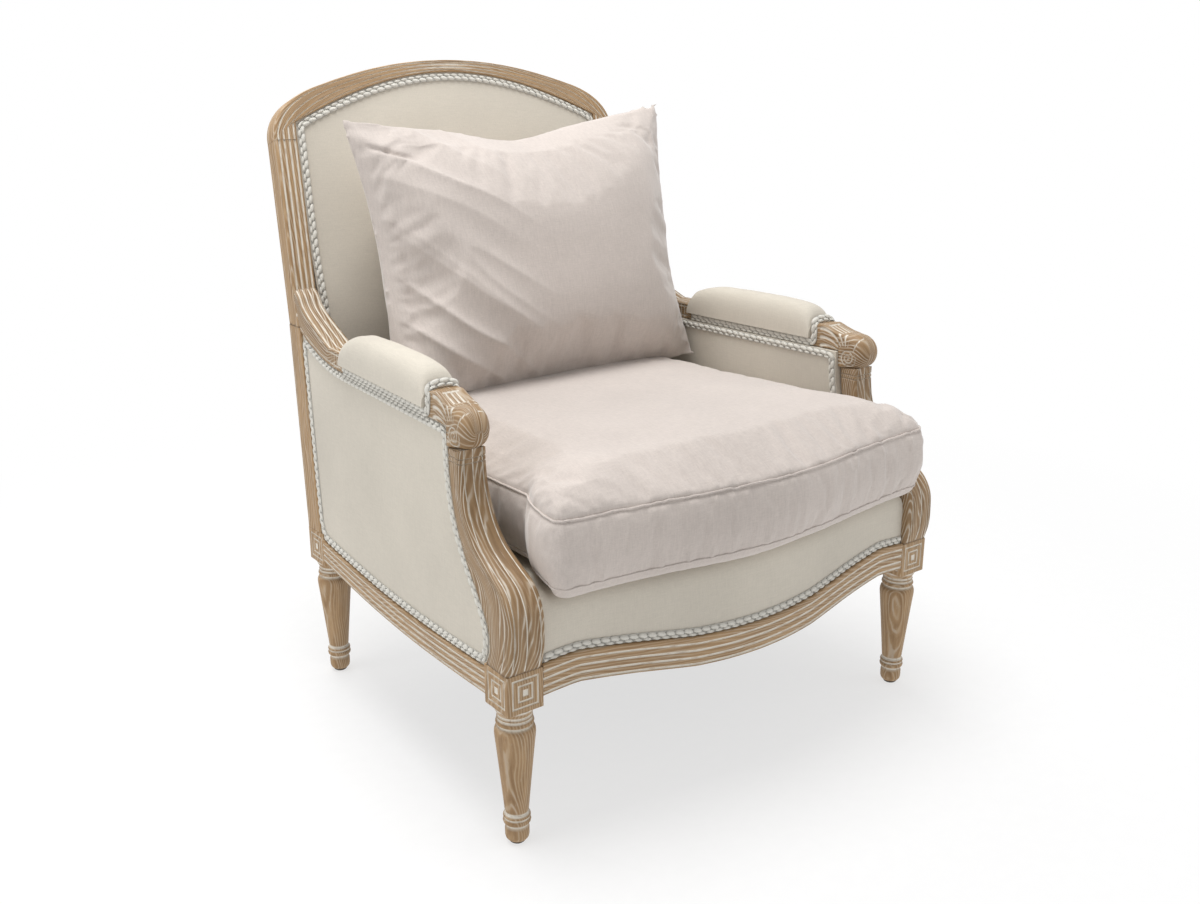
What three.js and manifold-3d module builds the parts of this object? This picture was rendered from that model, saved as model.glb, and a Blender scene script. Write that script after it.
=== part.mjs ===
// Bergere armchair: a limed oak show-wood frame with turned legs and scrolled arms, upholstered
// panels edged with braid, a boxed T-shaped seat cushion and a loose square back pillow.
// Units are millimetres, +Z is up, the chair faces -Y and stands on z = 0.
import * as THREE from 'three';
import { mergeVertices } from 'three/addons/utils/BufferGeometryUtils.js';
import Module from 'manifold-3d';

const wasm = await Module();
wasm.setup();

// Clearances and fits
const GAP = 0.3;
const OVERRUN = 5;
const WELD = 0.03;

// Leg positions and the square block on each leg
const FRONT_SPREAD = 750;
const REAR_SPREAD = 694;
const LEG_DEPTH_SPREAD = 597;
const BLOCK_SIZE = 55;
const BLOCK_HEIGHT = 56;
const LEG_HEIGHT = 204;
const GLIDE_HEIGHT = 4;
const GLIDE_RADIUS = 11;

// Turned leg radii
const NECK_RADIUS = 22;
const COLLAR_RADIUS = 25.5;
const SHAFT_TOP_RADIUS = 27.5;
const SHAFT_FOOT_RADIUS = 16;
const ANKLE_RADIUS = 19;
const FOOT_RADIUS = 16.5;

// Seat rails
const RAIL_TOP_RISE = 80;
const RAIL_THICKNESS = 34;
const RABBET = 12;
const FRONT_RAIL_FACE = 44;
const SIDE_RAIL_FACE = 38;
const RAIL_BOW = 40;
const FRONT_RAIL_DROP = 25;
const SIDE_RAIL_DROP = 12;
const FRONT_RAIL_LIFT = 18;
const SIDE_RAIL_LIFT = 10;

// Arms, stumps and back posts
const FRONT_LEAN_SHARE = 0.028;
const REAR_LEAN_SHARE = 0.052;
const ARM_WIDTH = 44;
const ARM_RISE = 278;
const ARM_THICKNESS = 13;
const ARM_RIB_HEIGHT = 22;
const KNUCKLE_DROP = 12;
const KNUCKLE_RADIUS = 28;
const KNUCKLE_SETBACK = 12.5;
const HAND_RISE = 25;
const STUMP_SWEEP = 130;
const STUMP_NECK_SETBACK = 121;
const SWOOP_RISE = 60;
const SWOOP_REACH = 190;
const UNDERSIDE_RISE = 34;
const UNDERSIDE_REACH = 156;
const PAD_FRONT_SETBACK = 93;
const POST_WIDTH = 45;
const POST_DEPTH = 45;
const POST_JOINT_RISE = 26;
const POST_RAKE = 11.7;

// Upper back frame, measured up its raked face from the joint on the posts
const BACK_RAKE = 15.3;
const BACK_FRAME_THICKNESS = 38;
const BACK_HALF_WIDTH = 356;
const SHOULDER_HALF_WIDTH = 338;
const SHOULDER_HEIGHT = 300;
const CREST_HEIGHT = 428;
const STILE_FACE = 38;
const CREST_FACE = 21;
const BACK_RAIL_HEIGHT = 40;
const BACK_RAIL_LIFT = 30;

// Upholstery
const PANEL_RECESS = 4;
const ARM_PAD_PROUD = 5;
const ARM_PAD_THICKNESS = 24;
const ARM_PAD_CROWN = 5;
const MANCHETTE_WIDTH = 58;
const MANCHETTE_HEIGHT = 54;
const BACK_PAD_DEPTH = 16;
const BACK_PAD_CROWN = 14;
const PLATFORM_HEIGHT = 66;
const PLATFORM_ROUND = 22;
const BORDER_THICKNESS = 6;
const TRIM_WIDTH = 12;
const TRIM_THICKNESS = 4.5;
const TRIM_CLEARANCE = 1.5;
const DUST_COVER_LIFT = 22;
const DUST_COVER_THICKNESS = 1.5;

// Webbing, corner blocks and screws
const STRAP_WIDTH = 50;
const STRAP_THICKNESS = 2;
const CORNER_BLOCK_LEG = 92;
const CORNER_BLOCK_HEIGHT = 32;
const CORNER_BLOCK_LIFT = 24;
const SCREW_RADIUS = 2.5;
const SCREW_LENGTH = 52;
const SCREW_HEAD_RADIUS = 5.5;
const SCREW_HEAD_HEIGHT = 3;

// Loose cushions
const CUSHION_OVERHANG = 28;
const CUSHION_EAR_LENGTH = 122;
const CUSHION_EAR_CLEARANCE = 1.5;
const CUSHION_SIDE_CLEARANCE = 20;
const CUSHION_BACK_CLEARANCE = 14;
const CUSHION_SEAM_HEIGHT = 111;
const CUSHION_CROWN = 50;
const CUSHION_REAR_DROP = 16;
const CUSHION_BULGE = 4;
const PILLOW_HALF_WIDTH = 309;
const PILLOW_WAIST = 28;
const PILLOW_HEIGHT = 436;
const PILLOW_FRONT_BULGE = 92;
const PILLOW_BACK_BULGE = 164;
const PILLOW_RAKE = 16;
const PILLOW_SETBACK = 178;
const PILLOW_SHIFT = 6;
const PILLOW_CHOP = 48;

// Places that follow from the sizes above
const half = (value) => value / 2;
const degrees = (angle) => THREE.MathUtils.degToRad(angle);
const lerp = THREE.MathUtils.lerp;
const FRONT_Y = -half(LEG_DEPTH_SPREAD);
const REAR_Y = half(LEG_DEPTH_SPREAD);
const BLOCK_TOP = LEG_HEIGHT + BLOCK_HEIGHT;
const FRONT_FACE = FRONT_Y - half(BLOCK_SIZE);
const REAR_FACE = REAR_Y + half(BLOCK_SIZE);
const SIDE_RAIL_FRONT = FRONT_Y + half(BLOCK_SIZE) + GAP;
const SIDE_RAIL_REAR = REAR_Y - half(BLOCK_SIZE) - GAP;
const FRONT_RAIL_HALF = half(FRONT_SPREAD - BLOCK_SIZE) - GAP;
const REAR_RAIL_HALF = half(REAR_SPREAD - BLOCK_SIZE) - GAP;
const POST_LEAN = Math.tan(degrees(POST_RAKE));
const BACK_LEAN = Math.tan(degrees(BACK_RAKE));
const PILLOW_LEAN = Math.tan(degrees(PILLOW_RAKE));
const POST_FRONT = REAR_FACE - POST_DEPTH;
const NECK_Y = FRONT_FACE + STUMP_NECK_SETBACK;
const RAIL_TOP = LEG_HEIGHT + RAIL_TOP_RISE;
const PLATFORM_TOP = RAIL_TOP + PLATFORM_HEIGHT;
const ARM_SEAT_HEIGHT = RAIL_TOP + ARM_RISE;
const ARM_BOTTOM_HEIGHT = ARM_SEAT_HEIGHT - ARM_THICKNESS;
const POST_TOP = ARM_SEAT_HEIGHT + POST_JOINT_RISE;
const KNUCKLE_HEIGHT = ARM_SEAT_HEIGHT - KNUCKLE_DROP;
const KNUCKLE_Y = NECK_Y + KNUCKLE_SETBACK;
const STUMP_TOP = KNUCKLE_HEIGHT - KNUCKLE_RADIUS;

const panelDepth = RABBET - GAP;

// The outer face of a side, which closes in towards the rear and leans in as it rises
function outerX(y, z) {
  const along = (y - FRONT_Y) / LEG_DEPTH_SPREAD;
  const foot = half(lerp(FRONT_SPREAD, REAR_SPREAD, along) + BLOCK_SIZE);
  const rise = THREE.MathUtils.clamp(z, BLOCK_TOP, POST_TOP) - BLOCK_TOP;
  return foot - rise * lerp(FRONT_LEAN_SHARE, REAR_LEAN_SHARE, along);
}

// The front of the back posts and of the back frame above them
function backFrontY(z) {
  const onPost = Math.max(Math.min(z, POST_TOP) - BLOCK_TOP, 0);
  const onFrame = Math.max(z - POST_TOP, 0);
  return POST_FRONT + onPost * POST_LEAN + onFrame * BACK_LEAN;
}

// The depth of the back posts, which taper to the thickness of the back frame
function postDepth(z) {
  const rise = (z - BLOCK_TOP) / (POST_TOP - BLOCK_TOP);
  const top = BACK_FRAME_THICKNESS / Math.cos(degrees(BACK_RAKE));
  return lerp(POST_DEPTH, top, THREE.MathUtils.clamp(rise, 0, 1));
}

// How far the front rail bows forward at a place across the chair
function bow(x) {
  const share = Math.min(Math.abs(x) / FRONT_RAIL_HALF, 1);
  return half(RAIL_BOW) * (1 + Math.cos(Math.PI * share));
}

// Materials
const finish = (color, roughness, metalness = 0) =>
  new THREE.MeshStandardMaterial({ color, roughness, metalness });
const MATERIALS = {
  oak: () => finish('#a08a6c', 0.72),
  pine: () => finish('#b89b6e', 0.8),
  linen: () => finish('#cbc5b9', 0.95),
  velvet: () => finish('#cbbfba', 0.98),
  braid: () => finish('#d6d3cb', 0.9),
  jute: () => finish('#9c8458', 0.95),
  blackCloth: () => finish('#26262a', 0.95),
  steel: () => finish('#8d9094', 0.35, 1),
  nylon: () => finish('#5a5148', 0.5),
};

const chair = new THREE.Group();

// Even shares from none to all, and the same with a margin at both ends
const steps = (count) => Array.from({ length: count + 1 }, (_, i) => i / count);
const margins = (count, margin) => [0, ...steps(count).map((t) => lerp(margin, 1 - margin, t)), 1];

// Adds a finished piece to the chair under its name
function add(name, geometry, material) {
  const mesh = new THREE.Mesh(geometry, MATERIALS[material]());
  mesh.name = name;
  chair.add(mesh);
}

// Merges shared corners, drops collapsed triangles and turns all faces outwards
function closed(geometry) {
  const bare = geometry.clone();
  for (const key of Object.keys(bare.attributes)) {
    if (key !== 'position') bare.deleteAttribute(key);
  }
  const merged = mergeVertices(bare, WELD);
  const index = Array.from(merged.index.array);
  const point = (i) => new THREE.Vector3().fromBufferAttribute(merged.attributes.position, i);
  const kept = [];
  let volume = 0;
  for (let i = 0; i < index.length; i += 3) {
    const [a, b, c] = index.slice(i, i + 3);
    if (a === b || b === c || a === c) continue;
    kept.push([a, b, c]);
    volume += point(a).dot(point(b).cross(point(c)));
  }
  merged.setIndex(kept.flatMap(([a, b, c]) => (volume < 0 ? [a, c, b] : [a, b, c])));
  merged.computeVertexNormals();
  return merged;
}

// Mirrors a piece from the right side of the chair to the left
function mirrored(geometry) {
  return closed(geometry.clone().scale(-1, 1, 1));
}

// Adds a piece of the right side and its mirror image on the left
function addPair(name, geometry, material) {
  add(`${name}_right`, geometry, material);
  add(`${name}_left`, mirrored(geometry), material);
}

function toSolid(geometry) {
  return new wasm.Manifold(new wasm.Mesh({
    numProp: 3,
    vertProperties: new Float32Array(geometry.attributes.position.array),
    triVerts: new Uint32Array(geometry.index.array),
  }));
}

function fromSolid(solid) {
  const { vertProperties, triVerts } = solid.getMesh();
  const geometry = new THREE.BufferGeometry();
  geometry.setAttribute('position', new THREE.Float32BufferAttribute(vertProperties, 3));
  geometry.setIndex(Array.from(triVerts));
  return closed(geometry);
}

function cut(geometry, ...tools) {
  return fromSolid(tools.reduce((solid, tool) => solid.subtract(toSolid(tool)), toSolid(geometry)));
}

// The largest body of a cut piece, without crumbs
function largest(geometry) {
  const parts = toSolid(geometry).decompose();
  return fromSolid(parts.reduce((a, b) => (a.volume() > b.volume() ? a : b)));
}

function joined(...geometries) {
  return fromSolid(geometries.map(toSolid).reduce((a, b) => a.add(b)));
}

// A closed body from rows of points: each row is a ring, and the ends are capped or joined
function loft(rings, endless = false) {
  const count = rings[0].length;
  const points = rings.flat();
  const index = [];
  const rows = endless ? rings.length : rings.length - 1;
  for (let r = 0; r < rows; r += 1) {
    const next = (r + 1) % rings.length;
    for (let c = 0; c < count; c += 1) {
      const d = (c + 1) % count;
      const [p, q, s, t] = [r * count + c, r * count + d, next * count + d, next * count + c];
      index.push(p, q, s, p, s, t);
    }
  }
  if (!endless) {
    for (const [r, flip] of [[0, true], [rings.length - 1, false]]) {
      const centre = new THREE.Vector3();
      rings[r].forEach((point) => centre.addScaledVector(point, 1 / count));
      points.push(centre);
      const hub = points.length - 1;
      for (let c = 0; c < count; c += 1) {
        const [p, q] = [r * count + c, r * count + ((c + 1) % count)];
        index.push(...(flip ? [hub, q, p] : [hub, p, q]));
      }
    }
  }
  const geometry = new THREE.BufferGeometry().setFromPoints(points);
  geometry.setIndex(index);
  return closed(geometry);
}

// A closed sheet between two surfaces over the given shares across and up
function sheet(front, back, us, vs) {
  const [across, up] = [us.length - 1, vs.length - 1];
  const rows = vs.map((v) => [
    ...us.map((u) => front(u, v)),
    ...us.toReversed().map((u) => back(u, v)),
  ]);
  const count = rows[0].length;
  const points = rows.flat();
  const index = [];
  for (let j = 0; j < up; j += 1) {
    for (let c = 0; c < count; c += 1) {
      const d = (c + 1) % count;
      const [p, q, s, t] = [j * count + c, j * count + d, (j + 1) * count + d, (j + 1) * count + c];
      index.push(p, q, s, p, s, t);
    }
  }
  for (const [j, flip] of [[0, true], [up, false]]) {
    for (let i = 0; i < across; i += 1) {
      const [a, b] = [j * count + i, j * count + i + 1];
      const [c, d] = [j * count + count - 2 - i, j * count + count - 1 - i];
      index.push(...(flip ? [a, c, b, a, d, c] : [a, b, c, a, c, d]));
    }
  }
  const geometry = new THREE.BufferGeometry().setFromPoints(points);
  geometry.setIndex(index);
  return closed(geometry);
}

// A box between two corners
function box(low, high) {
  const size = high.clone().sub(low);
  const middle = low.clone().add(high).multiplyScalar(half(1));
  return closed(new THREE.BoxGeometry(size.x, size.y, size.z).translate(middle.x, middle.y, middle.z));
}

// A side piece: an outline in the YZ plane, filled between an inner and an outer face
function sidePiece(outline, innerFace, outerFace) {
  const shape = new THREE.Shape(outline);
  const geometry = new THREE.ExtrudeGeometry(shape, { depth: 1, bevelEnabled: false, steps: 1 });
  const position = geometry.attributes.position;
  for (let i = 0; i < position.count; i += 1) {
    const [y, z, outward] = [position.getX(i), position.getY(i), position.getZ(i)];
    position.setXYZ(i, lerp(innerFace(y, z), outerFace(y, z), outward), y, z);
  }
  return closed(geometry);
}

// The value at a share along the given pairs of shares
function between(pairs, share) {
  const i = Math.max(pairs.findIndex(([along]) => along >= share), 1);
  const [[a, low], [b, high]] = [pairs[i - 1], pairs[i]];
  return lerp(low, high, (share - a) / (b - a));
}

// Points of a smooth curve through the given places
function curve(places, steps) {
  const spline = new THREE.SplineCurve(places.map(([a, b]) => new THREE.Vector2(a, b)));
  return spline.getPoints(steps);
}

// A flat band laid along a path: each place has a point, an outward normal and a width direction
function band(places, width, endless = false) {
  const rings = places.map(({ at, out, wide }) => {
    const corner = (side, lift) => at.clone()
      .addScaledVector(wide, side * half(width))
      .addScaledVector(out, lift);
    return [
      corner(-1, GAP),
      corner(1, GAP),
      corner(1, GAP + TRIM_THICKNESS),
      corner(-1, GAP + TRIM_THICKNESS),
    ];
  });
  return loft(rings, endless);
}

// Finds the width direction of a band from its path and its outward normals
function laid(points, outward, endless = false) {
  return points.map((at, i) => {
    const last = points.length - 1;
    const before = points[endless ? (i + last) % points.length : Math.max(i - 1, 0)];
    const after = points[endless ? (i + 1) % points.length : Math.min(i + 1, last)];
    const out = outward(at).normalize();
    const wide = after.clone().sub(before).cross(out).normalize();
    return { at, out, wide };
  });
}

// Legs: a square block over a turned leg, on a nylon glide
const LEG_SIDES = 20;
const LEG_PROFILE_SHARES = [
  [FOOT_RADIUS, 0.03],
  [FOOT_RADIUS, 0.085],
  [SHAFT_FOOT_RADIUS, 0.11],
  [ANKLE_RADIUS, 0.135],
  [ANKLE_RADIUS, 0.19],
  [SHAFT_FOOT_RADIUS, 0.215],
  [SHAFT_TOP_RADIUS, 0.8],
  [SHAFT_TOP_RADIUS, 0.84],
  [NECK_RADIUS, 0.872],
  [COLLAR_RADIUS, 0.89],
  [COLLAR_RADIUS, 0.92],
  [NECK_RADIUS, 0.94],
  [NECK_RADIUS, 0.965],
  [SHAFT_TOP_RADIUS, 0.998],
];
const TOE_SHARE = 0.8;

function legAt(x, y) {
  const bottom = GLIDE_HEIGHT + GAP;
  const height = (share) => lerp(bottom, LEG_HEIGHT, share);
  const profile = [new THREE.Vector2(0, bottom), new THREE.Vector2(FOOT_RADIUS * TOE_SHARE, bottom)];
  for (const [radius, share] of LEG_PROFILE_SHARES) {
    profile.push(new THREE.Vector2(radius, height(share)));
  }
  profile.push(new THREE.Vector2(SHAFT_TOP_RADIUS, LEG_HEIGHT + OVERRUN));
  profile.push(new THREE.Vector2(0, LEG_HEIGHT + OVERRUN));
  const turned = new THREE.LatheGeometry(profile, LEG_SIDES).rotateX(half(Math.PI));
  const block = new THREE.BoxGeometry(BLOCK_SIZE, BLOCK_SIZE, BLOCK_HEIGHT);
  block.translate(0, 0, LEG_HEIGHT + half(BLOCK_HEIGHT));
  return joined(closed(turned), closed(block)).translate(x, y, 0);
}

function glideAt(x, y) {
  const rim = GLIDE_RADIUS * TOE_SHARE;
  const profile = [[0, 0], [rim, 0], [GLIDE_RADIUS, half(GLIDE_HEIGHT)], [rim, GLIDE_HEIGHT], [0, GLIDE_HEIGHT]];
  const points = profile.map(([r, z]) => new THREE.Vector2(r, z));
  return closed(new THREE.LatheGeometry(points, LEG_SIDES).rotateX(half(Math.PI))).translate(x, y, 0);
}

// Seat rails: a moulded face below a rabbet that takes the fabric
const FACE_SHARES = [[0, 0], [0.16, 0.03], [0.32, 0.13], [0.58, 0.6], [0.84, 1], [1, 0.84]];
const frontRailLow = (x) => {
  const share = Math.min(Math.abs(x) / FRONT_RAIL_HALF, 1);
  return LEG_HEIGHT + FRONT_RAIL_LIFT - FRONT_RAIL_DROP * (1 - between(FACE_SHARES, share));
};
const sideRailLow = (y) => {
  const share = (y - SIDE_RAIL_FRONT) / (SIDE_RAIL_REAR - SIDE_RAIL_FRONT);
  return LEG_HEIGHT + SIDE_RAIL_LIFT - SIDE_RAIL_DROP * Math.sin(Math.PI * share);
};
const frontRailHigh = (x) => frontRailLow(x) + FRONT_RAIL_FACE;
const sideRailHigh = (y) => sideRailLow(y) + SIDE_RAIL_FACE;
const rearRailLow = LEG_HEIGHT + SIDE_RAIL_LIFT;
const rearRailHigh = rearRailLow + SIDE_RAIL_FACE;

// The L-shaped section of a rail, from the outer face inwards
function railSection(low, high) {
  return [
    [0, low],
    [0, high],
    [RABBET, high],
    [RABBET, RAIL_TOP],
    [RAIL_THICKNESS, RAIL_TOP],
    [RAIL_THICKNESS, low],
  ];
}

const FRONT_RAIL_STEPS = 20;
const SIDE_RAIL_STEPS = 12;

const frontRail = loft(steps(FRONT_RAIL_STEPS).map((share) => {
  const x = lerp(-FRONT_RAIL_HALF, FRONT_RAIL_HALF, share);
  const section = railSection(frontRailLow(x), frontRailHigh(x));
  return section.map(([inward, z]) => new THREE.Vector3(x, FRONT_FACE - bow(x) + inward, z));
}));

const sideRail = loft(steps(SIDE_RAIL_STEPS).map((share) => {
  const y = lerp(SIDE_RAIL_FRONT, SIDE_RAIL_REAR, share);
  const section = railSection(sideRailLow(y), sideRailHigh(y));
  return section.map(([inward, z]) => {
    const face = inward === RABBET ? outerX(y, z) : outerX(y, 0);
    return new THREE.Vector3(face - inward, y, z);
  });
}));

const rearRail = loft([-REAR_RAIL_HALF, REAR_RAIL_HALF].map((x) => {
  const section = railSection(rearRailLow, rearRailHigh);
  return section.map(([inward, z]) => new THREE.Vector3(x, REAR_FACE - inward, z));
}));

// Arm stumps: front and rear edges as [height share, sweep share], the sweep from the neck forward
const STUMP_FRONT_SHARES = [
  [0, 0.93], [0.1, 0.985], [0.2, 0.995], [0.3, 0.98], [0.375, 0.91], [0.43, 0.8], [0.48, 0.6],
  [0.55, 0.35], [0.635, 0.19], [0.72, 0.1], [0.81, 0.03], [0.92, 0], [1, 0],
];
const STUMP_REAR_SHARES = [
  [0, 0.51], [0.09, 0.58], [0.2, 0.53], [0.33, 0.34], [0.47, 0.1],
  [0.65, -0.12], [0.85, -0.235], [1, -0.27],
];
const STUMP_STEPS = 18;
const stumpBottom = BLOCK_TOP + GAP;
const stumpPlaces = (shares) => shares.map(([rise, sweep]) => [
  NECK_Y - sweep * STUMP_SWEEP,
  lerp(stumpBottom, STUMP_TOP, rise),
]);
const stumpFront = curve(stumpPlaces(STUMP_FRONT_SHARES), STUMP_STEPS);
const stumpRear = curve(stumpPlaces(STUMP_REAR_SHARES), STUMP_STEPS);
const stumpInner = () => half(FRONT_SPREAD - BLOCK_SIZE);

// The top of a stump, hollowed for the knuckle and level under the arm behind it
function stumpTop(y) {
  const ahead = Math.max(KNUCKLE_Y - y, 0);
  return KNUCKLE_HEIGHT - Math.sqrt(KNUCKLE_RADIUS ** 2 - ahead ** 2);
}
const STUMP_TOP_SHARES = [0, 0.12, 0.24, 0.36];
const stumpTopEdge = STUMP_TOP_SHARES.map((share) => {
  const y = lerp(stumpFront[STUMP_STEPS].x, stumpRear[STUMP_STEPS].x, share);
  return new THREE.Vector2(y, stumpTop(y));
});
const stump = sidePiece(
  [...stumpFront.slice(0, -1), ...stumpTopEdge, ...stumpRear.toReversed()],
  stumpInner,
  outerX,
);
// The room that the panels leave for a stump
const stumpSpace = sidePiece(
  [...stumpFront, ...stumpRear.map(({ x, y }) => new THREE.Vector2(x + half(3 * GAP), y)).toReversed()],
  () => stumpInner() - BLOCK_SIZE,
  () => stumpInner() + BLOCK_SIZE * 2,
);

// The rear edge of the stump at a height, by looking along its points
function stumpRearY(z) {
  const found = stumpRear.findIndex((point) => point.y >= z);
  const i = found < 0 ? STUMP_STEPS : Math.max(found, 1);
  const [a, b] = [stumpRear[i - 1], stumpRear[i]];
  return lerp(a.x, b.x, THREE.MathUtils.clamp((z - a.y) / (b.y - a.y), 0, 1));
}

// Arms: knuckle, carved hand, seat for the pad and the swoop up to the back frame
const PAD_FRONT = NECK_Y + PAD_FRONT_SETBACK + GAP;
const KNUCKLE_STEPS = 14;
const armRearTop = POST_TOP + SWOOP_RISE;
const SWOOP_START = backFrontY(armRearTop) - SWOOP_REACH;
const UNDERSIDE_START = backFrontY(POST_TOP) - UNDERSIDE_REACH;
const UNDERSIDE_POWER = 1.8;
const stumpRearTop = stumpRear[STUMP_STEPS].x;
function armBottomZ(y) {
  const rise = THREE.MathUtils.clamp((y - UNDERSIDE_START) / UNDERSIDE_REACH, 0, 1);
  return ARM_BOTTOM_HEIGHT + UNDERSIDE_RISE * rise ** UNDERSIDE_POWER;
}

// The inner face of an arm, which narrows to the face of the back stile along the swoop
function armInner(y, z) {
  const along = THREE.MathUtils.clamp((y - SWOOP_START) / SWOOP_REACH, 0, 1);
  return outerX(y, z) - lerp(ARM_WIDTH, STILE_FACE, along);
}
const HAND_FLAT_SHARE = 0.976;
const HAND_SHARES = [[0.26, 0.6], [0.5, 0.8], [0.69, 1], [0.79, HAND_FLAT_SHARE], [1, HAND_FLAT_SHARE]];
const SWOOP_SHARES = [
  [0.015, 0.18], [0.265, 0.186], [0.31, 0.195], [0.455, 0.314], [0.6, 0.44],
  [0.74, 0.57], [0.86, 0.72], [0.924, 0.88], [1, 1],
];
const UNDERSIDE_SHARES = [0, 0.06, 0.12, 0.18, 0.24, 0.3, 1];

// The outline of an arm, with some room behind the part over the stump
function armOutline(room = 0) {
  const outline = [new THREE.Vector2(backFrontY(POST_TOP) - GAP, POST_TOP)];
  const endZ = armBottomZ(backFrontY(POST_TOP));
  const stepY = stumpRearTop + room;
  for (const share of UNDERSIDE_SHARES) {
    const y = lerp(backFrontY(endZ) - GAP, stepY, share);
    outline.push(new THREE.Vector2(y, armBottomZ(y)));
  }
  outline.push(new THREE.Vector2(stepY, STUMP_TOP + GAP));
  for (const share of steps(KNUCKLE_STEPS)) {
    const angle = -half(Math.PI) - Math.PI * share;
    const reach = KNUCKLE_RADIUS - GAP;
    outline.push(new THREE.Vector2(
      KNUCKLE_Y + reach * Math.cos(angle),
      KNUCKLE_HEIGHT + reach * Math.sin(angle),
    ));
  }
  for (const [along, up] of HAND_SHARES) {
    outline.push(new THREE.Vector2(
      lerp(KNUCKLE_Y, PAD_FRONT - GAP, along),
      ARM_SEAT_HEIGHT + HAND_RISE * up,
    ));
  }
  outline.push(new THREE.Vector2(PAD_FRONT - GAP, ARM_SEAT_HEIGHT));
  outline.push(new THREE.Vector2(SWOOP_START, ARM_SEAT_HEIGHT));
  for (const [along, up] of SWOOP_SHARES) {
    const z = lerp(ARM_SEAT_HEIGHT, armRearTop, up);
    const y = lerp(SWOOP_START, backFrontY(armRearTop) - GAP, along);
    outline.push(new THREE.Vector2(y, z));
  }
  return outline;
}

// The rib under an arm, between its inside pad and its outside panel
const ribFront = stumpRearTop - OVERRUN;
const ribRear = backFrontY(ARM_BOTTOM_HEIGHT) - GAP;
const RIB_STEPS = 12;
const ribEdge = (lift) => steps(RIB_STEPS).map((share) => {
  const y = lerp(ribFront, ribRear, share);
  return new THREE.Vector2(y, armBottomZ(y) + lift);
});
const armRib = sidePiece(
  [...ribEdge(-ARM_RIB_HEIGHT), ...ribEdge(OVERRUN).toReversed()],
  (y, z) => outerX(y, z) - ARM_WIDTH - ARM_PAD_PROUD + ARM_PAD_THICKNESS + GAP,
  (y, z) => outerX(y, z) - RABBET - GAP,
);
const arm = joined(sidePiece(armOutline(), armInner, outerX), armRib);
// The room that the panels leave under an arm
const armSpace = sidePiece(
  armOutline(GAP),
  (y, z) => armInner(y, z) - ARM_WIDTH,
  (y, z) => outerX(y, z) + ARM_WIDTH,
).translate(0, 0, -2 * GAP);

// Back posts, from the rear leg blocks to the joint of the back frame
function postOuter(y, z) {
  const rise = THREE.MathUtils.clamp((z - BLOCK_TOP) / (POST_TOP - BLOCK_TOP), 0, 1);
  return lerp(half(REAR_SPREAD + BLOCK_SIZE), BACK_HALF_WIDTH, rise);
}
const postInner = (y, z) => postOuter(y, z) - POST_WIDTH;
const postBottom = BLOCK_TOP + GAP;
const postRear = (z) => backFrontY(z) + postDepth(z);
const backPost = sidePiece([
  new THREE.Vector2(backFrontY(postBottom), postBottom),
  new THREE.Vector2(postRear(postBottom), postBottom),
  new THREE.Vector2(postRear(POST_TOP), POST_TOP),
  new THREE.Vector2(backFrontY(POST_TOP), POST_TOP),
], postInner, postOuter);

// Places on the raked back frame: across, up the face and back from the face
function onFrame(x, up, behind) {
  return new THREE.Vector3(
    x,
    backFrontY(POST_TOP) + up * Math.sin(degrees(BACK_RAKE)) + behind * Math.cos(degrees(BACK_RAKE)),
    POST_TOP + up * Math.cos(degrees(BACK_RAKE)) - behind * Math.sin(degrees(BACK_RAKE)),
  );
}

// Half of the outer and the inner edge of the back frame, from the joint to the middle of the crest
const frameOuterX = (up) => lerp(BACK_HALF_WIDTH, SHOULDER_HALF_WIDTH, up / SHOULDER_HEIGHT);
const frameInnerX = (up) => frameOuterX(up) - STILE_FACE;
const crestRise = CREST_HEIGHT - SHOULDER_HEIGHT;
const CREST_STEPS = 9;
const INNER_CORNER_SHARE = 0.22;

// Control points as shares of the half width at one end and of the rise to the other
const SHOULDER_CURVE_SHARES = [[1, 0], [0.965, 0.36], [0.775, 0.64]];
const ARCH_CURVE_SHARES = [[0.775, 0.64], [0.562, 0.82], [0.325, 1], [0, 1]];
const INNER_ARCH_SHARES = [[1, 0], [0.77, 0.39], [0.42, 1], [0, 1]];
const controlPoints = (shares, width, low, high) =>
  shares.map(([across, up]) => new THREE.Vector2(width * across, lerp(low, high, up)));

function crestOuter() {
  const place = (shares) => controlPoints(shares, SHOULDER_HALF_WIDTH, SHOULDER_HEIGHT, CREST_HEIGHT);
  const shoulder = new THREE.QuadraticBezierCurve(...place(SHOULDER_CURVE_SHARES));
  const arch = new THREE.CubicBezierCurve(...place(ARCH_CURVE_SHARES));
  return [...shoulder.getPoints(half(CREST_STEPS + 1)), ...arch.getPoints(CREST_STEPS).slice(1)];
}

function crestInner() {
  const cornerUp = SHOULDER_HEIGHT + crestRise * INNER_CORNER_SHARE;
  const top = CREST_HEIGHT - CREST_FACE;
  const arch = new THREE.CubicBezierCurve(
    ...controlPoints(INNER_ARCH_SHARES, frameInnerX(cornerUp), cornerUp, top),
  );
  const foot = new THREE.Vector2(frameInnerX(SHOULDER_HEIGHT + GAP), SHOULDER_HEIGHT + GAP);
  return [foot, ...arch.getPoints(CREST_STEPS)];
}

// A closed outline of the raked frame, made solid over the frame's thickness
function framePiece(outline, front, back) {
  const shape = new THREE.Shape(outline);
  const geometry = new THREE.ExtrudeGeometry(shape, { depth: 1, bevelEnabled: false, steps: 1 });
  const position = geometry.attributes.position;
  for (let i = 0; i < position.count; i += 1) {
    const behind = lerp(front, back, position.getZ(i));
    const place = onFrame(position.getX(i), position.getY(i), behind);
    position.setXYZ(i, place.x, place.y, place.z);
  }
  return closed(geometry);
}

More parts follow.
